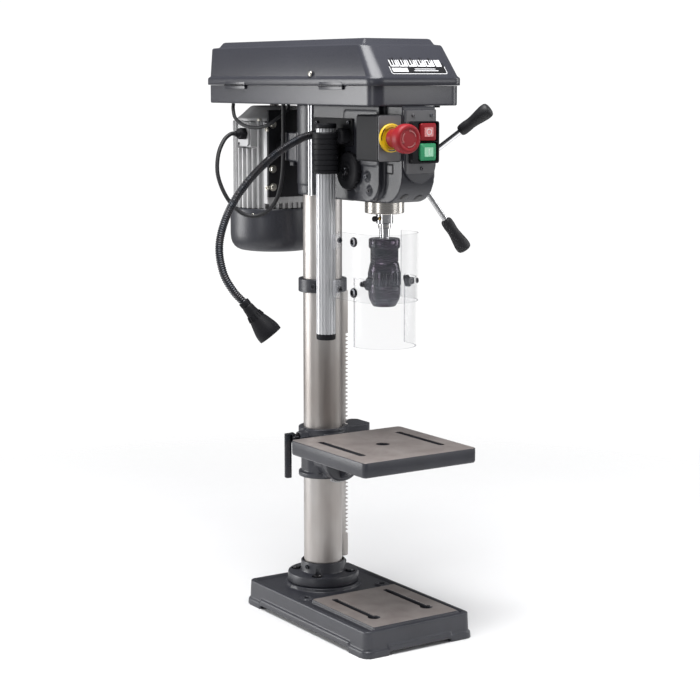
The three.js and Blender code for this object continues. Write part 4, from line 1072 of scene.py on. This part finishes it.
def feed_group():
    at = ON_PINION
    hub = placed(turned([
        (9.2, 42.2), (21.5, 42.2), (22.6, 43.0), (24, 44.4), (24, 59.5), (22.8, 65), (20, 73.4),
        (17.2, 76.8), (14, 79), (10, 80), (9.2, 79.6), (9.2, 42.2),
    ], 96), at, RIGHT)
    cap = placed(turned([(0, 66.6), (9.0, 66.6), (9.0, 80.2), (7.8, 81), (0, 81)], 48), at, RIGHT)
    holder = piece("feed_hub_casting", "feed", "cast_paint", hub, ("feed_hub",))
    piece("feed_hub_cap", "feed", "black_plastic", cap)
    apex = Vector((70, PINION_Y, PINION_Z))
    outward = math.radians(31)
    holes = []
    for k in range(3):
        swing = math.radians(45.2 + 120 * k)
        side = math.cos(outward)
        toward = Vector((math.sin(outward), -side * math.cos(swing), side * math.sin(swing)))
        holes.append(placed(cylinder(4.1, 15, 60, 24), apex, toward))
        rod = placed(turned([(0, 14), (4, 14), (4, 103.4), (3.4, 104), (0, 104)], 48), apex, toward)
        piece(f"feed_lever_{k + 1}", "feed", "chrome", rod, (f"feed_rod_{k + 1}",))
        grip = placed(turned([
            (4.2, 92.4), (6.4, 92.2), (7.2, 92.8), (8.2, 94.6), (8.8, 98), (8.9, 104), (8.5, 109),
            (8.3, 113), (8.8, 119), (10.2, 128), (11.3, 136), (11.5, 140.5), (11.0, 144.2), (9.6, 146.6),
            (7.0, 147.8), (3.4, 148), (0, 148),
        ], 64), apex, toward)
        piece(f"feed_knob_{k + 1}", "feed", "rubber", grip, (f"feed_grip_{k + 1}",))
    carve(holder, holes)
    soften(holder, 0.4)
    dress("feed_shaft", 0.2)


def return_spring_cap():
    dress("return_spring", 0)
    cap = placed(turned([
        (0, 46.6), (9, 46.6), (9.4, 45.8), (14, 45.8), (14.4, 46.8), (23.4, 46.8), (25.6, 46.3),
        (27.0, 45.2), (27.5, 43.6), (27.5, 38.4), (24.8, 38.4), (24.8, 43.2), (0, 43.2),
    ], 96), ON_PINION, LEFT)
    piece("spring_housing", "frame", "black_plastic", cap, ("spring_cap",))
    lugs = []
    for out in (radial(t) * 27.3 for t in angles(12)):
        lugs.append(placed(cylinder(1.5, 0, 5.4, 12), (-38.6, PINION_Y + out.x, PINION_Z + out.y), LEFT))
    piece("spring_housing_lugs", "frame", "black_plastic", lugs)
    nut = placed(hex_bolt(5.2, 4.2, 7.5), (-46.6, PINION_Y, PINION_Z), LEFT)
    piece("spring_nut", "frame", "black_steel", nut)


quill_group()
chuck_group()
feed_group()
return_spring_cap()


# ------------------------------------------------------------------ belt drive and its cover
TRAY_HALF, TRAY_FRONT, TRAY_BACK = 77.0, -252.0, 218.0
WALL = 2.6


def cover_ring(half, front, back, r, z):
    return [(x, y, z) for x, y in rounded(-half, half, front, back, [r, r / 2, r / 2, r], 10)]


def lid_ring(lift, inset, z, lip=3.0):
    """Outline of the lid: the front leans back and the sides lean in as it rises."""
    side = TRAY_HALF + lip - 4.5 * lift - lip * min(lift * 20, 1) - inset
    front = TRAY_FRONT - lip + 38 * lift + inset
    back = TRAY_BACK + lip - 3 * min(lift * 20, 1) - inset
    return cover_ring(side, front, back, max(20 - inset - 4 * lift, 3), z)


def belt_tray():
    rows = [(1.6, 785), (0.5, 785.5), (0.1, 786.6), (0, 788), (0, 809.6), (0, 813)]
    rows += [(WALL, 813), (WALL, 789), (WALL + 1.5, 787.6)]
    rings = [cover_ring(TRAY_HALF - g, TRAY_FRONT + g, TRAY_BACK - g, max(20 - g, 4), z) for g, z in rows]
    tray = piece("belt_tray", "frame", "cover_plastic", loft(rings), ("pulley_tray",))
    openings = [
        placed(cylinder(r, 0, 8, 40), (0, y, 783))
        for y, r in ((SPINDLE_Y, 17), (-8, 10), (142, 14), (126, 14))
    ]
    carve(tray, [*openings, block((-14, 126, 783), (14, 142, 791))])


def belt_cover():
    top, shoulder = 880.0, 871.0
    outer = [
        (0, 0.6, 813.4), (0, 0, 814.2), (0, 0, 822.8), (0, 0.5, 824.0), (0.02, 0.4, 825.2), (0.06, 0, 826.6),
        (0.96, 0, 868.4), (1, 0.5, 869.9), (1.02, 1.6, 870.8), (1.05, 3.2, shoulder),
        (1.05, 8.6, shoulder + 0.6), (1.05, 9.8, shoulder + 1.2), (1.05, 14.2, top - 1.5),
        (1.05, 15.4, top - 0.6), (1.05, 17.4, top),
    ]
    inner = [
        (1.05, 16, top - WALL), (1.05, 6, shoulder - WALL), (1, 2.8, 867), (0.06, WALL, 824), (0, WALL, 820),
        (0, WALL, 813.4),
    ]
    shell = loft([lid_ring(*row) for row in inner + outer])
    piece("belt_cover", "lid", "cover_plastic", shell, ("pulley_lid",))


def cover_fittings():
    knuckles, pins = [], []
    pin_head = turned([(0, 0), (1.5, 0), (1.9, 0.5), (1.9, 2.0), (1.5, 2.5), (0, 2.5)], 20)
    for y0, y1 in ((97, 158), (-178, -116)):
        knuckles.append(prism(rounded(-80.4, -77.4, y0, y1, 1.0, 3), 807.5, 818.5))
        pins.append(placed(pin_head, (-80.0, y0 - 1.8, 813.2), BACK))
        pins.append(placed(cylinder(1.5, 0, y1 - y0 + 2, 16), (-80.0, y0 - 1, 813.2), BACK))
    piece("lid_hinges", "frame", "cover_plastic", knuckles, bevel=0.5)
    piece("lid_hinge_pins", "frame", "black_steel", pins)
    foot = turned([(0, 0), (4.2, 0), (4.8, 0.6), (4.8, 3.2), (0, 3.2)], 32)
    piece("tray_foot", "frame", "rubber", placed(foot, (46, -232, 785.4), DOWN))
    stud = [
        placed(shape, (-79, -92, 830), LEFT) for shape in (cylinder(2.6, -1, 2, 24), pan_screw(4.0, 2.4))
    ]
    piece("lid_screw", "lid", "ground_steel", stud, look=ZINC)
    for name in ("spindle_pulley", "idler_pulley", "motor_pulley"):
        dress(name, 0.3)
    for name in ("spindle_belt", "motor_belt"):
        dress(name, 0.4)
    dress("idler_post", 0.3)


def label_group():
    """Generic instruction plate on the slanted front of the cover: boxes and simple symbols only."""
    low_front = TRAY_FRONT - 3 + 38 * 0.06
    high_front = TRAY_FRONT - 3 + 38
    up = Vector((0, high_front - low_front, 868.5 - 826.6)).normalized()
    right = Vector((1, 0, 0))
    out = right.cross(up)
    centre = Vector((4.0, (low_front + high_front) / 2, (868.5 + 826.6) / 2)) + out * 0.1

    def patch(name, boxes, lift, look, radius=0.6, thick=0.25):
        shapes = []
        for x0, x1, v0, v1 in boxes:
            r = min(radius, (x1 - x0) / 2.2, (v1 - v0) / 2.2)
            shape = prism(rounded(x0, x1, v0, v1, r, 4), lift, lift + thick)
            shapes.append(([centre + right * p[0] + up * p[1] + out * p[2] for p in shape[0]], shape[1]))
        return piece(name, "lid", "cover_plastic", shapes, look=look)

    w, h = 48.0, 24.0
    patch("label_border", [(-w, w, -h, h)], 0.0, PLATE_WHITE, 3.0)
    patch("label_ground", [(-w + 1.2, w - 1.2, -h + 1.2, h - 1.2)], 0.12, PLATE_BLACK, 2.4)
    tiles = [(-44.5 + 15.4 * k, -30.3 + 15.4 * k, -10.5, 8.5) for k in range(5)]
    tiles.append((33.4, 43.5, -10.5, 8.5))
    patch("label_tiles", tiles, 0.24, PLATE_WHITE)
    patch("label_badge", [(-44.5, -24, 10.5, 22)], 0.24, PLATE_RED, 1.0)
    patch("label_badge_centre", [(-42.5, -26, 12.8, 19.7)], 0.36, PLATE_WHITE, 3.2)
    bars = [(-12, 14, 18.6, 20.2), (-15, 18, 14.8, 16.6), (-6, 30, -15.6, -14.2), (-8, 34, -18.8, -17.4)]
    bars += [(-44.5, -18, -20.0, -13.0)]
    patch("label_bars", bars, 0.24, PLATE_WHITE, 0.5)
    marks = []
    for k in range(5):
        x = -42.5 + 15.4 * k
        marks += [(x, x + 3.2, -8, 4 - k), (x + 5, x + 7.4, -8 + k, 6), (x + 8.6, x + 10, -2, 2 + k * 0.7)]
    patch("label_symbols", marks, 0.36, PLATE_BLACK, 0.5)
    disc = cylinder(5.2, 0.24, 0.5, 40)
    piece("label_disc", "lid", "cover_plastic", [
        ([centre + right * (p[0] + 40.5) + up * (p[1] + 16) + out * p[2] for p in disc[0]], disc[1])
    ], look=PLATE_WHITE)


belt_tray()
belt_cover()
cover_fittings()
label_group()


# ------------------------------------------------------------------ motor
MOTOR_Y = 142.0
ON_MOTOR = (0, MOTOR_Y, 0)


def motor_body():
    r, core = 66.0, 58.0
    bottom, top = 621.3, 757.0
    outline = []
    fins = 40
    for centre in angles(fins):
        for radius, side in (
            (core, -0.62), (core, -0.52), (r - 1, -0.36), (r, -0.22),
            (r, 0.22), (r - 1, 0.36), (core, 0.52), (core, 0.62),
        ):
            a = centre + side * math.pi / fins
            outline.append((radius * math.cos(a), MOTOR_Y + radius * math.sin(a)))
    body = piece("motor_housing", "motor", "aluminium", prism(outline, bottom, top), ("motor_body",))
    plate_back = MOTOR_Y - r + 6.4
    carve(body, [
        block((-90, plate_back - 12, bottom - 1), (90, plate_back, top + 1)),
        block((-71, MOTOR_Y - 33, 715), (-49, MOTOR_Y + 5, top + 1)),
        placed(cylinder(54, 0, 30, 64), (0, MOTOR_Y, top - 8)),
        placed(cylinder(54, 0, 30, 64), (0, MOTOR_Y, bottom - 12)),
    ])
    soften(body, 0.35, 1)
    flat = block((-49, plate_back + 0.1, bottom + 8), (49, MOTOR_Y - 48, top - 2))
    terminal = prism(rounded(MOTOR_Y - 31, MOTOR_Y + 3, 717, top - 0.2, 2, 3), -62.2, -50, "x")
    piece("motor_feet", "motor", "aluminium", [flat, terminal], bevel=1.0)
    ear = turned([(0, -6), (6.4, -6), (6.4, 0), (5.6, 0.8), (0, 0.8)], 32)
    corners = [(x, MOTOR_Y + y) for y in (33, -33) for x in (-46, 46)]
    bolts = [placed(hex_bolt(3.6, 3.0, 4.4), (x, y, 757.6)) for x, y in corners]
    ears = [placed(ear, (x, y, 757.0)) for x, y in corners]
    piece("end_shield_bolts", "motor", "ground_steel", bolts, look=ZINC)
    piece("end_shield_ears", "motor", "aluminium", ears)


def motor_ends():
    shield = turned([
        (9.2, 757.4), (58.0, 757.4), (58.5, 758), (58.5, 761.2), (57.6, 762.4), (53.6, 765.4),
        (50.0, 768.6), (44.0, 774.2), (40.0, 777.6), (37.4, 779.6), (34, 780.8), (15, 780.8),
        (14, 779.8), (9.2, 779.8), (9.2, 757.4),
    ], 128)
    piece("motor_top_shield", "motor", "aluminium", placed(shield, ON_MOTOR), ("motor_end_shield",))
    cap = turned([
        (0, 552.2), (50, 552.2), (56, 553.2), (61, 555.4), (65, 558.8), (68.2, 563.6), (70.2, 570),
        (71, 578), (71, 617.5), (70.6, 619.6), (69.6, 621), (68, 621), (68, 580), (67, 570), (62, 561),
        (55, 557), (0, 556.2),
    ], 128)
    fan_cap = placed(cap, ON_MOTOR)
    fan_cover = piece("motor_fan_cap", "motor", "cast_paint", fan_cap, ("motor_fan_cover",))
    slot, slot_faces = prism(rounded(-4.2, 4.2, -1.5, 1.5, 1.4, 4), 545, 559)
    points, faces = [], []
    for radius, count in ((18, 10), (30, 16), (42, 22)):
        for t in angles(count):
            turn = Matrix.Rotation(t, 4, "Z")
            faces += [tuple(i + len(points) for i in f) for f in slot_faces]
            points += [turn @ (Vector(p) + Vector((radius, 0, 0))) + Vector(ON_MOTOR) for p in slot]
    carve(fan_cover, [(points, faces)])
    screws = []
    for out in (radial(math.radians(a)) for a in (-150, -60, 30, 120)):
        screws.append(placed(pan_screw(3.2, 1.8), out * 70.8 + Vector((0, MOTOR_Y, 611)), out))
    piece("fan_cap_screws", "motor", "ground_steel", screws, look=ZINC)
    for name in ("motor_rotor", "motor_fan"):
        dress(name, 0.3)


def motor_fittings():
    lid = prism(rounded(MOTOR_Y - 30, MOTOR_Y + 2, 718.2, 755.8, 7, 6), -66, -62.3, "x")
    piece("terminal_lid", "motor", "aluminium", lid, ("motor_terminal_cover",), bevel=0.9)
    gland = placed(turned([
        (3.4, 16.2), (4.4, 16.2), (5.2, 13), (6.2, 10.6), (8.4, 10), (8.8, 9), (8.8, 4.4, "hex"),
        (8.8, 0, "hex"), (3.4, 0), (3.4, 16.2),
    ], 48), (-66.2, MOTOR_Y - 19, 738), LEFT)
    piece("cable_gland", "motor", "black_plastic", gland, ("motor_gland",))
    screws = [
        placed(pan_screw(r, height), (-66, MOTOR_Y + y, z), LEFT)
        for r, height, y, z in ((3.4, 2.0, -3.5, 738), (2.2, 1.4, -26, 750), (2.2, 1.4, -2, 722))
    ]
    piece("terminal_screws", "motor", "black_steel", screws)
    dress("motor_plate", 0.8)
    bolt = hex_bolt(4.4, 3.8, 6.2)
    heads = [placed(bolt, (x, 76, z), FRONT) for x in (-43, 43) for z in (656, 684, 753)]
    piece("motor_plate_bolts", "motor", "ground_steel", heads, look=ZINC)
    side_nuts = [placed(cap_screw(3.6, 3.2), (-50, 79, z), LEFT) for z in (655, 745)]
    piece("motor_plate_side_screws", "motor", "ground_steel", side_nuts, look=ZINC)


motor_body()
motor_ends()
motor_fittings()


# ------------------------------------------------------------------ chuck guard
BAR_X, BAR_Y = -66.0, -113.0
KNOB_ANGLES = (196, 343)


def bar_bore(r, low, height):
    """Cutter that clears the guard bar."""
    return placed(cylinder(r, 0, height, 64), (BAR_X, BAR_Y, low))


def guard_mount():
    dress("guard_plate", 0.8)
    screws = [
        placed(cap_screw(3.2, 3.0), (-41.7, y, z), LEFT)
        for y, z in ((-138, 760), (-52, 758), (-52, 702), (-96, 702))
    ]
    piece("guard_plate_screws", "frame", "black_steel", screws)
    rows = [(14.3, 686), (17.5, 686), (19, 687.4)]
    for z in (690 + 7.6 * k for k in range(7)):
        rows += [(19, z), (18.2, z + 0.5), (18.2, z + 1.3), (19, z + 1.8)]
    rows += [(19, 744.4), (17.5, 746), (14.3, 746), (14.3, 686)]
    drum = placed(turned(rows, 96), (BAR_X, BAR_Y, 0))
    arm = prism(rounded(-60, -42, -108, -84, 2, 3), 700, 742)
    bridge = prism(rounded(-56, -42, -137, -110, 3, 3), 729, 745)
    piece("guard_hinge_drum", "frame", "black_plastic", drum, ("guard_housing",))
    mount = piece("guard_hinge_arm", "frame", "black_plastic", [arm, bridge], bevel=0.8)
    carve(mount, [bar_bore(14.6, 680, 80)])
    knob = placed(turned([
        (0, 42), (11.0, 42), (11.2, 44), (11.2, 55.6), (10.4, 57.2), (8.8, 58), (7.4, 58), (7.0, 57),
        (6.2, 56.4), (0, 56.4),
    ], 64), (0, -134, 741), LEFT)
    boss = piece("guard_hinge_boss", "frame", "black_plastic", knob)
    carve(boss, [bar_bore(14.6, 680, 80)])


def guard_moving():
    bottom, top = 442.0, 752.0
    flutes = 16
    outline = []
    for i in range(flutes):
        for r, part in (
            (14, 0.04), (14, 0.2), (14, 0.36), (14, 0.52), (13.7, 0.60), (12.9, 0.66), (12.7, 0.74),
            (12.7, 0.86), (12.9, 0.94), (13.7, 1.0),
        ):
            t = 2 * math.pi * (i + part) / flutes
            outline.append((BAR_X + r * math.cos(t), BAR_Y + r * math.sin(t)))
    rail = prism(outline, bottom + 8, top)
    piece("guard_rail", "guard_arm", "aluminium", rail, ("guard_bar",), look=EXTRUDED)
    at = (BAR_X, BAR_Y, 0)
    lower = turned([
        (0, bottom), (12.6, bottom), (13.8, bottom + 0.8), (14.1, bottom + 2), (14.1, bottom + 8.6),
        (0, bottom + 8.6),
    ], 64)
    upper = turned([
        (0, top - 0.4), (15.2, top - 0.4), (15.5, top + 0.2), (15.5, top + 5.6), (14.6, top + 6.8),
        (0, top + 7),
    ], 64)
    piece("guard_rail_caps", "guard_arm", "black_plastic", [placed(lower, at), placed(upper, at)])


def sheet_outline(r, sheet, start_y, end_angle, steps=40):
    """Bent sheet seen from above: straight from the bar, then an arc round the spindle."""
    outer = [(-r, start_y)] + arc((0, SPINDLE_Y), r, 180, 360 + end_angle, steps)
    inner = arc((0, SPINDLE_Y), r - sheet, 360 + end_angle, 180, steps) + [(-(r - sheet), start_y)]
    return outer + inner


def shield(name, body, node_name, r, sheet, start_y, end_angle):
    low, high = extent(node_name)
    outline = sheet_outline(r, sheet, start_y, end_angle)
    made = piece(name, body, "clear_sheet", prism(outline, low.z, high.z), (node_name,))
    made.data.materials.append(SHEET_EDGE)
    for face in made.data.polygons:
        flat = abs(face.normal.z) > 0.5
        wide = face.area / (high.z - low.z) / MM > sheet * 1.3 * MM
        if flat or not wide:
            face.material_index = 1


def guard_shields():
    sheet = 2.4
    shield("shield_upper", "guard_arm", "guard_upper", 50.0, sheet, BAR_Y + 4, 25)
    shield("shield_lower", "guard_slide", "guard_lower", 50.0 - sheet - 0.3, sheet, SPINDLE_Y + 10, 15)
    low, high = extent("guard_upper")
    fixings = []
    for y, z, r in (
        (-128, low.z + 15, 4.2), (-128, high.z - 12, 4.2), (-165, low.z + 13, 7.0), (-165, high.z - 12, 7.0),
    ):
        fixings.append(placed(turned([
            (0, -0.3), (r - 0.6, -0.3), (r, 0.6), (r, 2.4, "knurl"), (r - 0.8, 4.0, "knurl"),
            (r * 0.55, 4.2), (r * 0.5, 2.2, "hex"), (0, 2.0),
        ], 72), (-50.0, y, z), LEFT))
    piece("shield_screws", "guard_arm", "black_steel", fixings)
    outline = rounded(-63, -50.2, BAR_Y - 17, BAR_Y + 8, 3, 3)
    clamps = [prism(outline, low.z + 4, low.z + 28), prism(outline, high.z - 24, high.z - 3)]
    frosted = clear_sheet("bracket_clear", 0.22)
    bracket = piece("shield_brackets", "guard_arm", "clear_sheet", clamps, look=frosted, bevel=0.8)
    carve(bracket, [bar_bore(14.2, 450, 200)])
    stem = turned([(0, -0.2), (5.0, -0.2), (5.2, 5), (3.2, 6), (0, 6)], 32)
    wing = turned([(0, 5), (9.5, 5.2, "wing"), (10.5, 8, "wing"), (9.8, 13, "wing"), (0, 13.5)], 72)
    knobs, heads = [], []
    for out in (radial(math.radians(angle)) for angle in KNOB_ANGLES):
        centre = Vector((0, SPINDLE_Y, low.z + 27))
        inside = centre + out * 44.4
        knobs += [placed(stem, inside, -out), placed(wing, inside, -out, 0.5)]
        heads.append(placed(pan_screw(4.0, 2.4), centre + out * 50.0, out))
    piece("shield_wing_knobs", "guard_slide", "black_plastic", knobs)
    piece("shield_knob_heads", "guard_slide", "black_steel", heads)


guard_mount()
guard_moving()
guard_shields()


# ------------------------------------------------------------------ work lamp
LAMP_ROUTE = [
    (-42.8, -60, 742), (-53, -60, 741), (-80, -60, 734), (-120, -58, 712), (-164, -58, 676),
    (-198, -60, 634), (-216, -63, 588), (-215, -70, 548), (-203, -78, 520), (-187, -86, 500),
]
HOSE_R, RIB_DEPTH, RIB_PITCH = 5.6, 0.45, 3.2


def hose_radius(distance):
    return HOSE_R + RIB_DEPTH * math.cos(2 * math.pi * distance / RIB_PITCH)


def lamp_group():
    neck = hose(smooth_path(LAMP_ROUTE, 110), hose_radius)
    neck_black = black_oxide("gooseneck", 0.42)
    piece("lamp_gooseneck", "lamp", "black_steel", neck, ("lamp_hose",), look=neck_black)
    aim = Vector((0.52, -0.34, -0.78)).normalized()
    at = Vector((-185.9, -86.7, 498.3))
    shell = turned([
        (0, 0.0), (6.6, 0.0), (7.4, 0.8), (8.4, 4), (9.0, 11), (10.2, 17), (12.4, 25), (15.4, 35),
        (17.6, 43), (18.4, 48.0), (18.5, 50), (18.5, 55.2), (17.9, 56), (16.9, 56), (16.5, 55.2),
        (16.5, 50.5), (0, 50.0),
    ], 96)
    fin, fin_faces = block((9.8, -0.5, 16), (11.0, 0.5, 24))
    leaning = [Vector(p) + Vector(((p[2] - 16) * 0.26, 0, 0)) for p in fin]
    parts = [shell]
    for turn in (Matrix.Rotation(t, 4, "Z") for t in angles(16)):
        parts.append(([turn @ p for p in leaning], fin_faces))
    shapes = [placed(part, at, aim) for part in parts]
    piece("lamp_shell", "lamp", "black_plastic", shapes, ("lamp_head",))
    lens = turned([(0, 52.0), (14.2, 52.2), (16.0, 52.9), (16.3, 53.2), (16.3, 50.6), (0, 50.4)], 96)
    piece("lamp_lens", "lamp", "clear_sheet", placed(lens, at, aim), look=LAMP_LENS)
    ring = turned([(15.9, 52.8), (18.2, 55.6), (18.2, 56.4), (16.4, 56.3), (15.4, 53.2), (15.9, 52.8)], 96)
    piece("lamp_bezel", "lamp", "rubber", placed(ring, at, aim))
    collar = turned([(6.3, -7), (7.6, -7), (8.0, -6), (8.0, 0.4), (6.3, 0.4), (6.3, -7)], 48)
    piece("lamp_neck_collar", "lamp", "black_plastic", placed(collar, at, aim))
    socket = turned([(6.4, 0), (10, 0), (10.4, 0.6), (10.4, 3.2), (8.8, 5.2), (6.4, 5.2), (6.4, 0)], 48)
    piece("lamp_socket", "frame", "black_plastic", placed(socket, (-41.8, -60, 742), LEFT))


lamp_group()
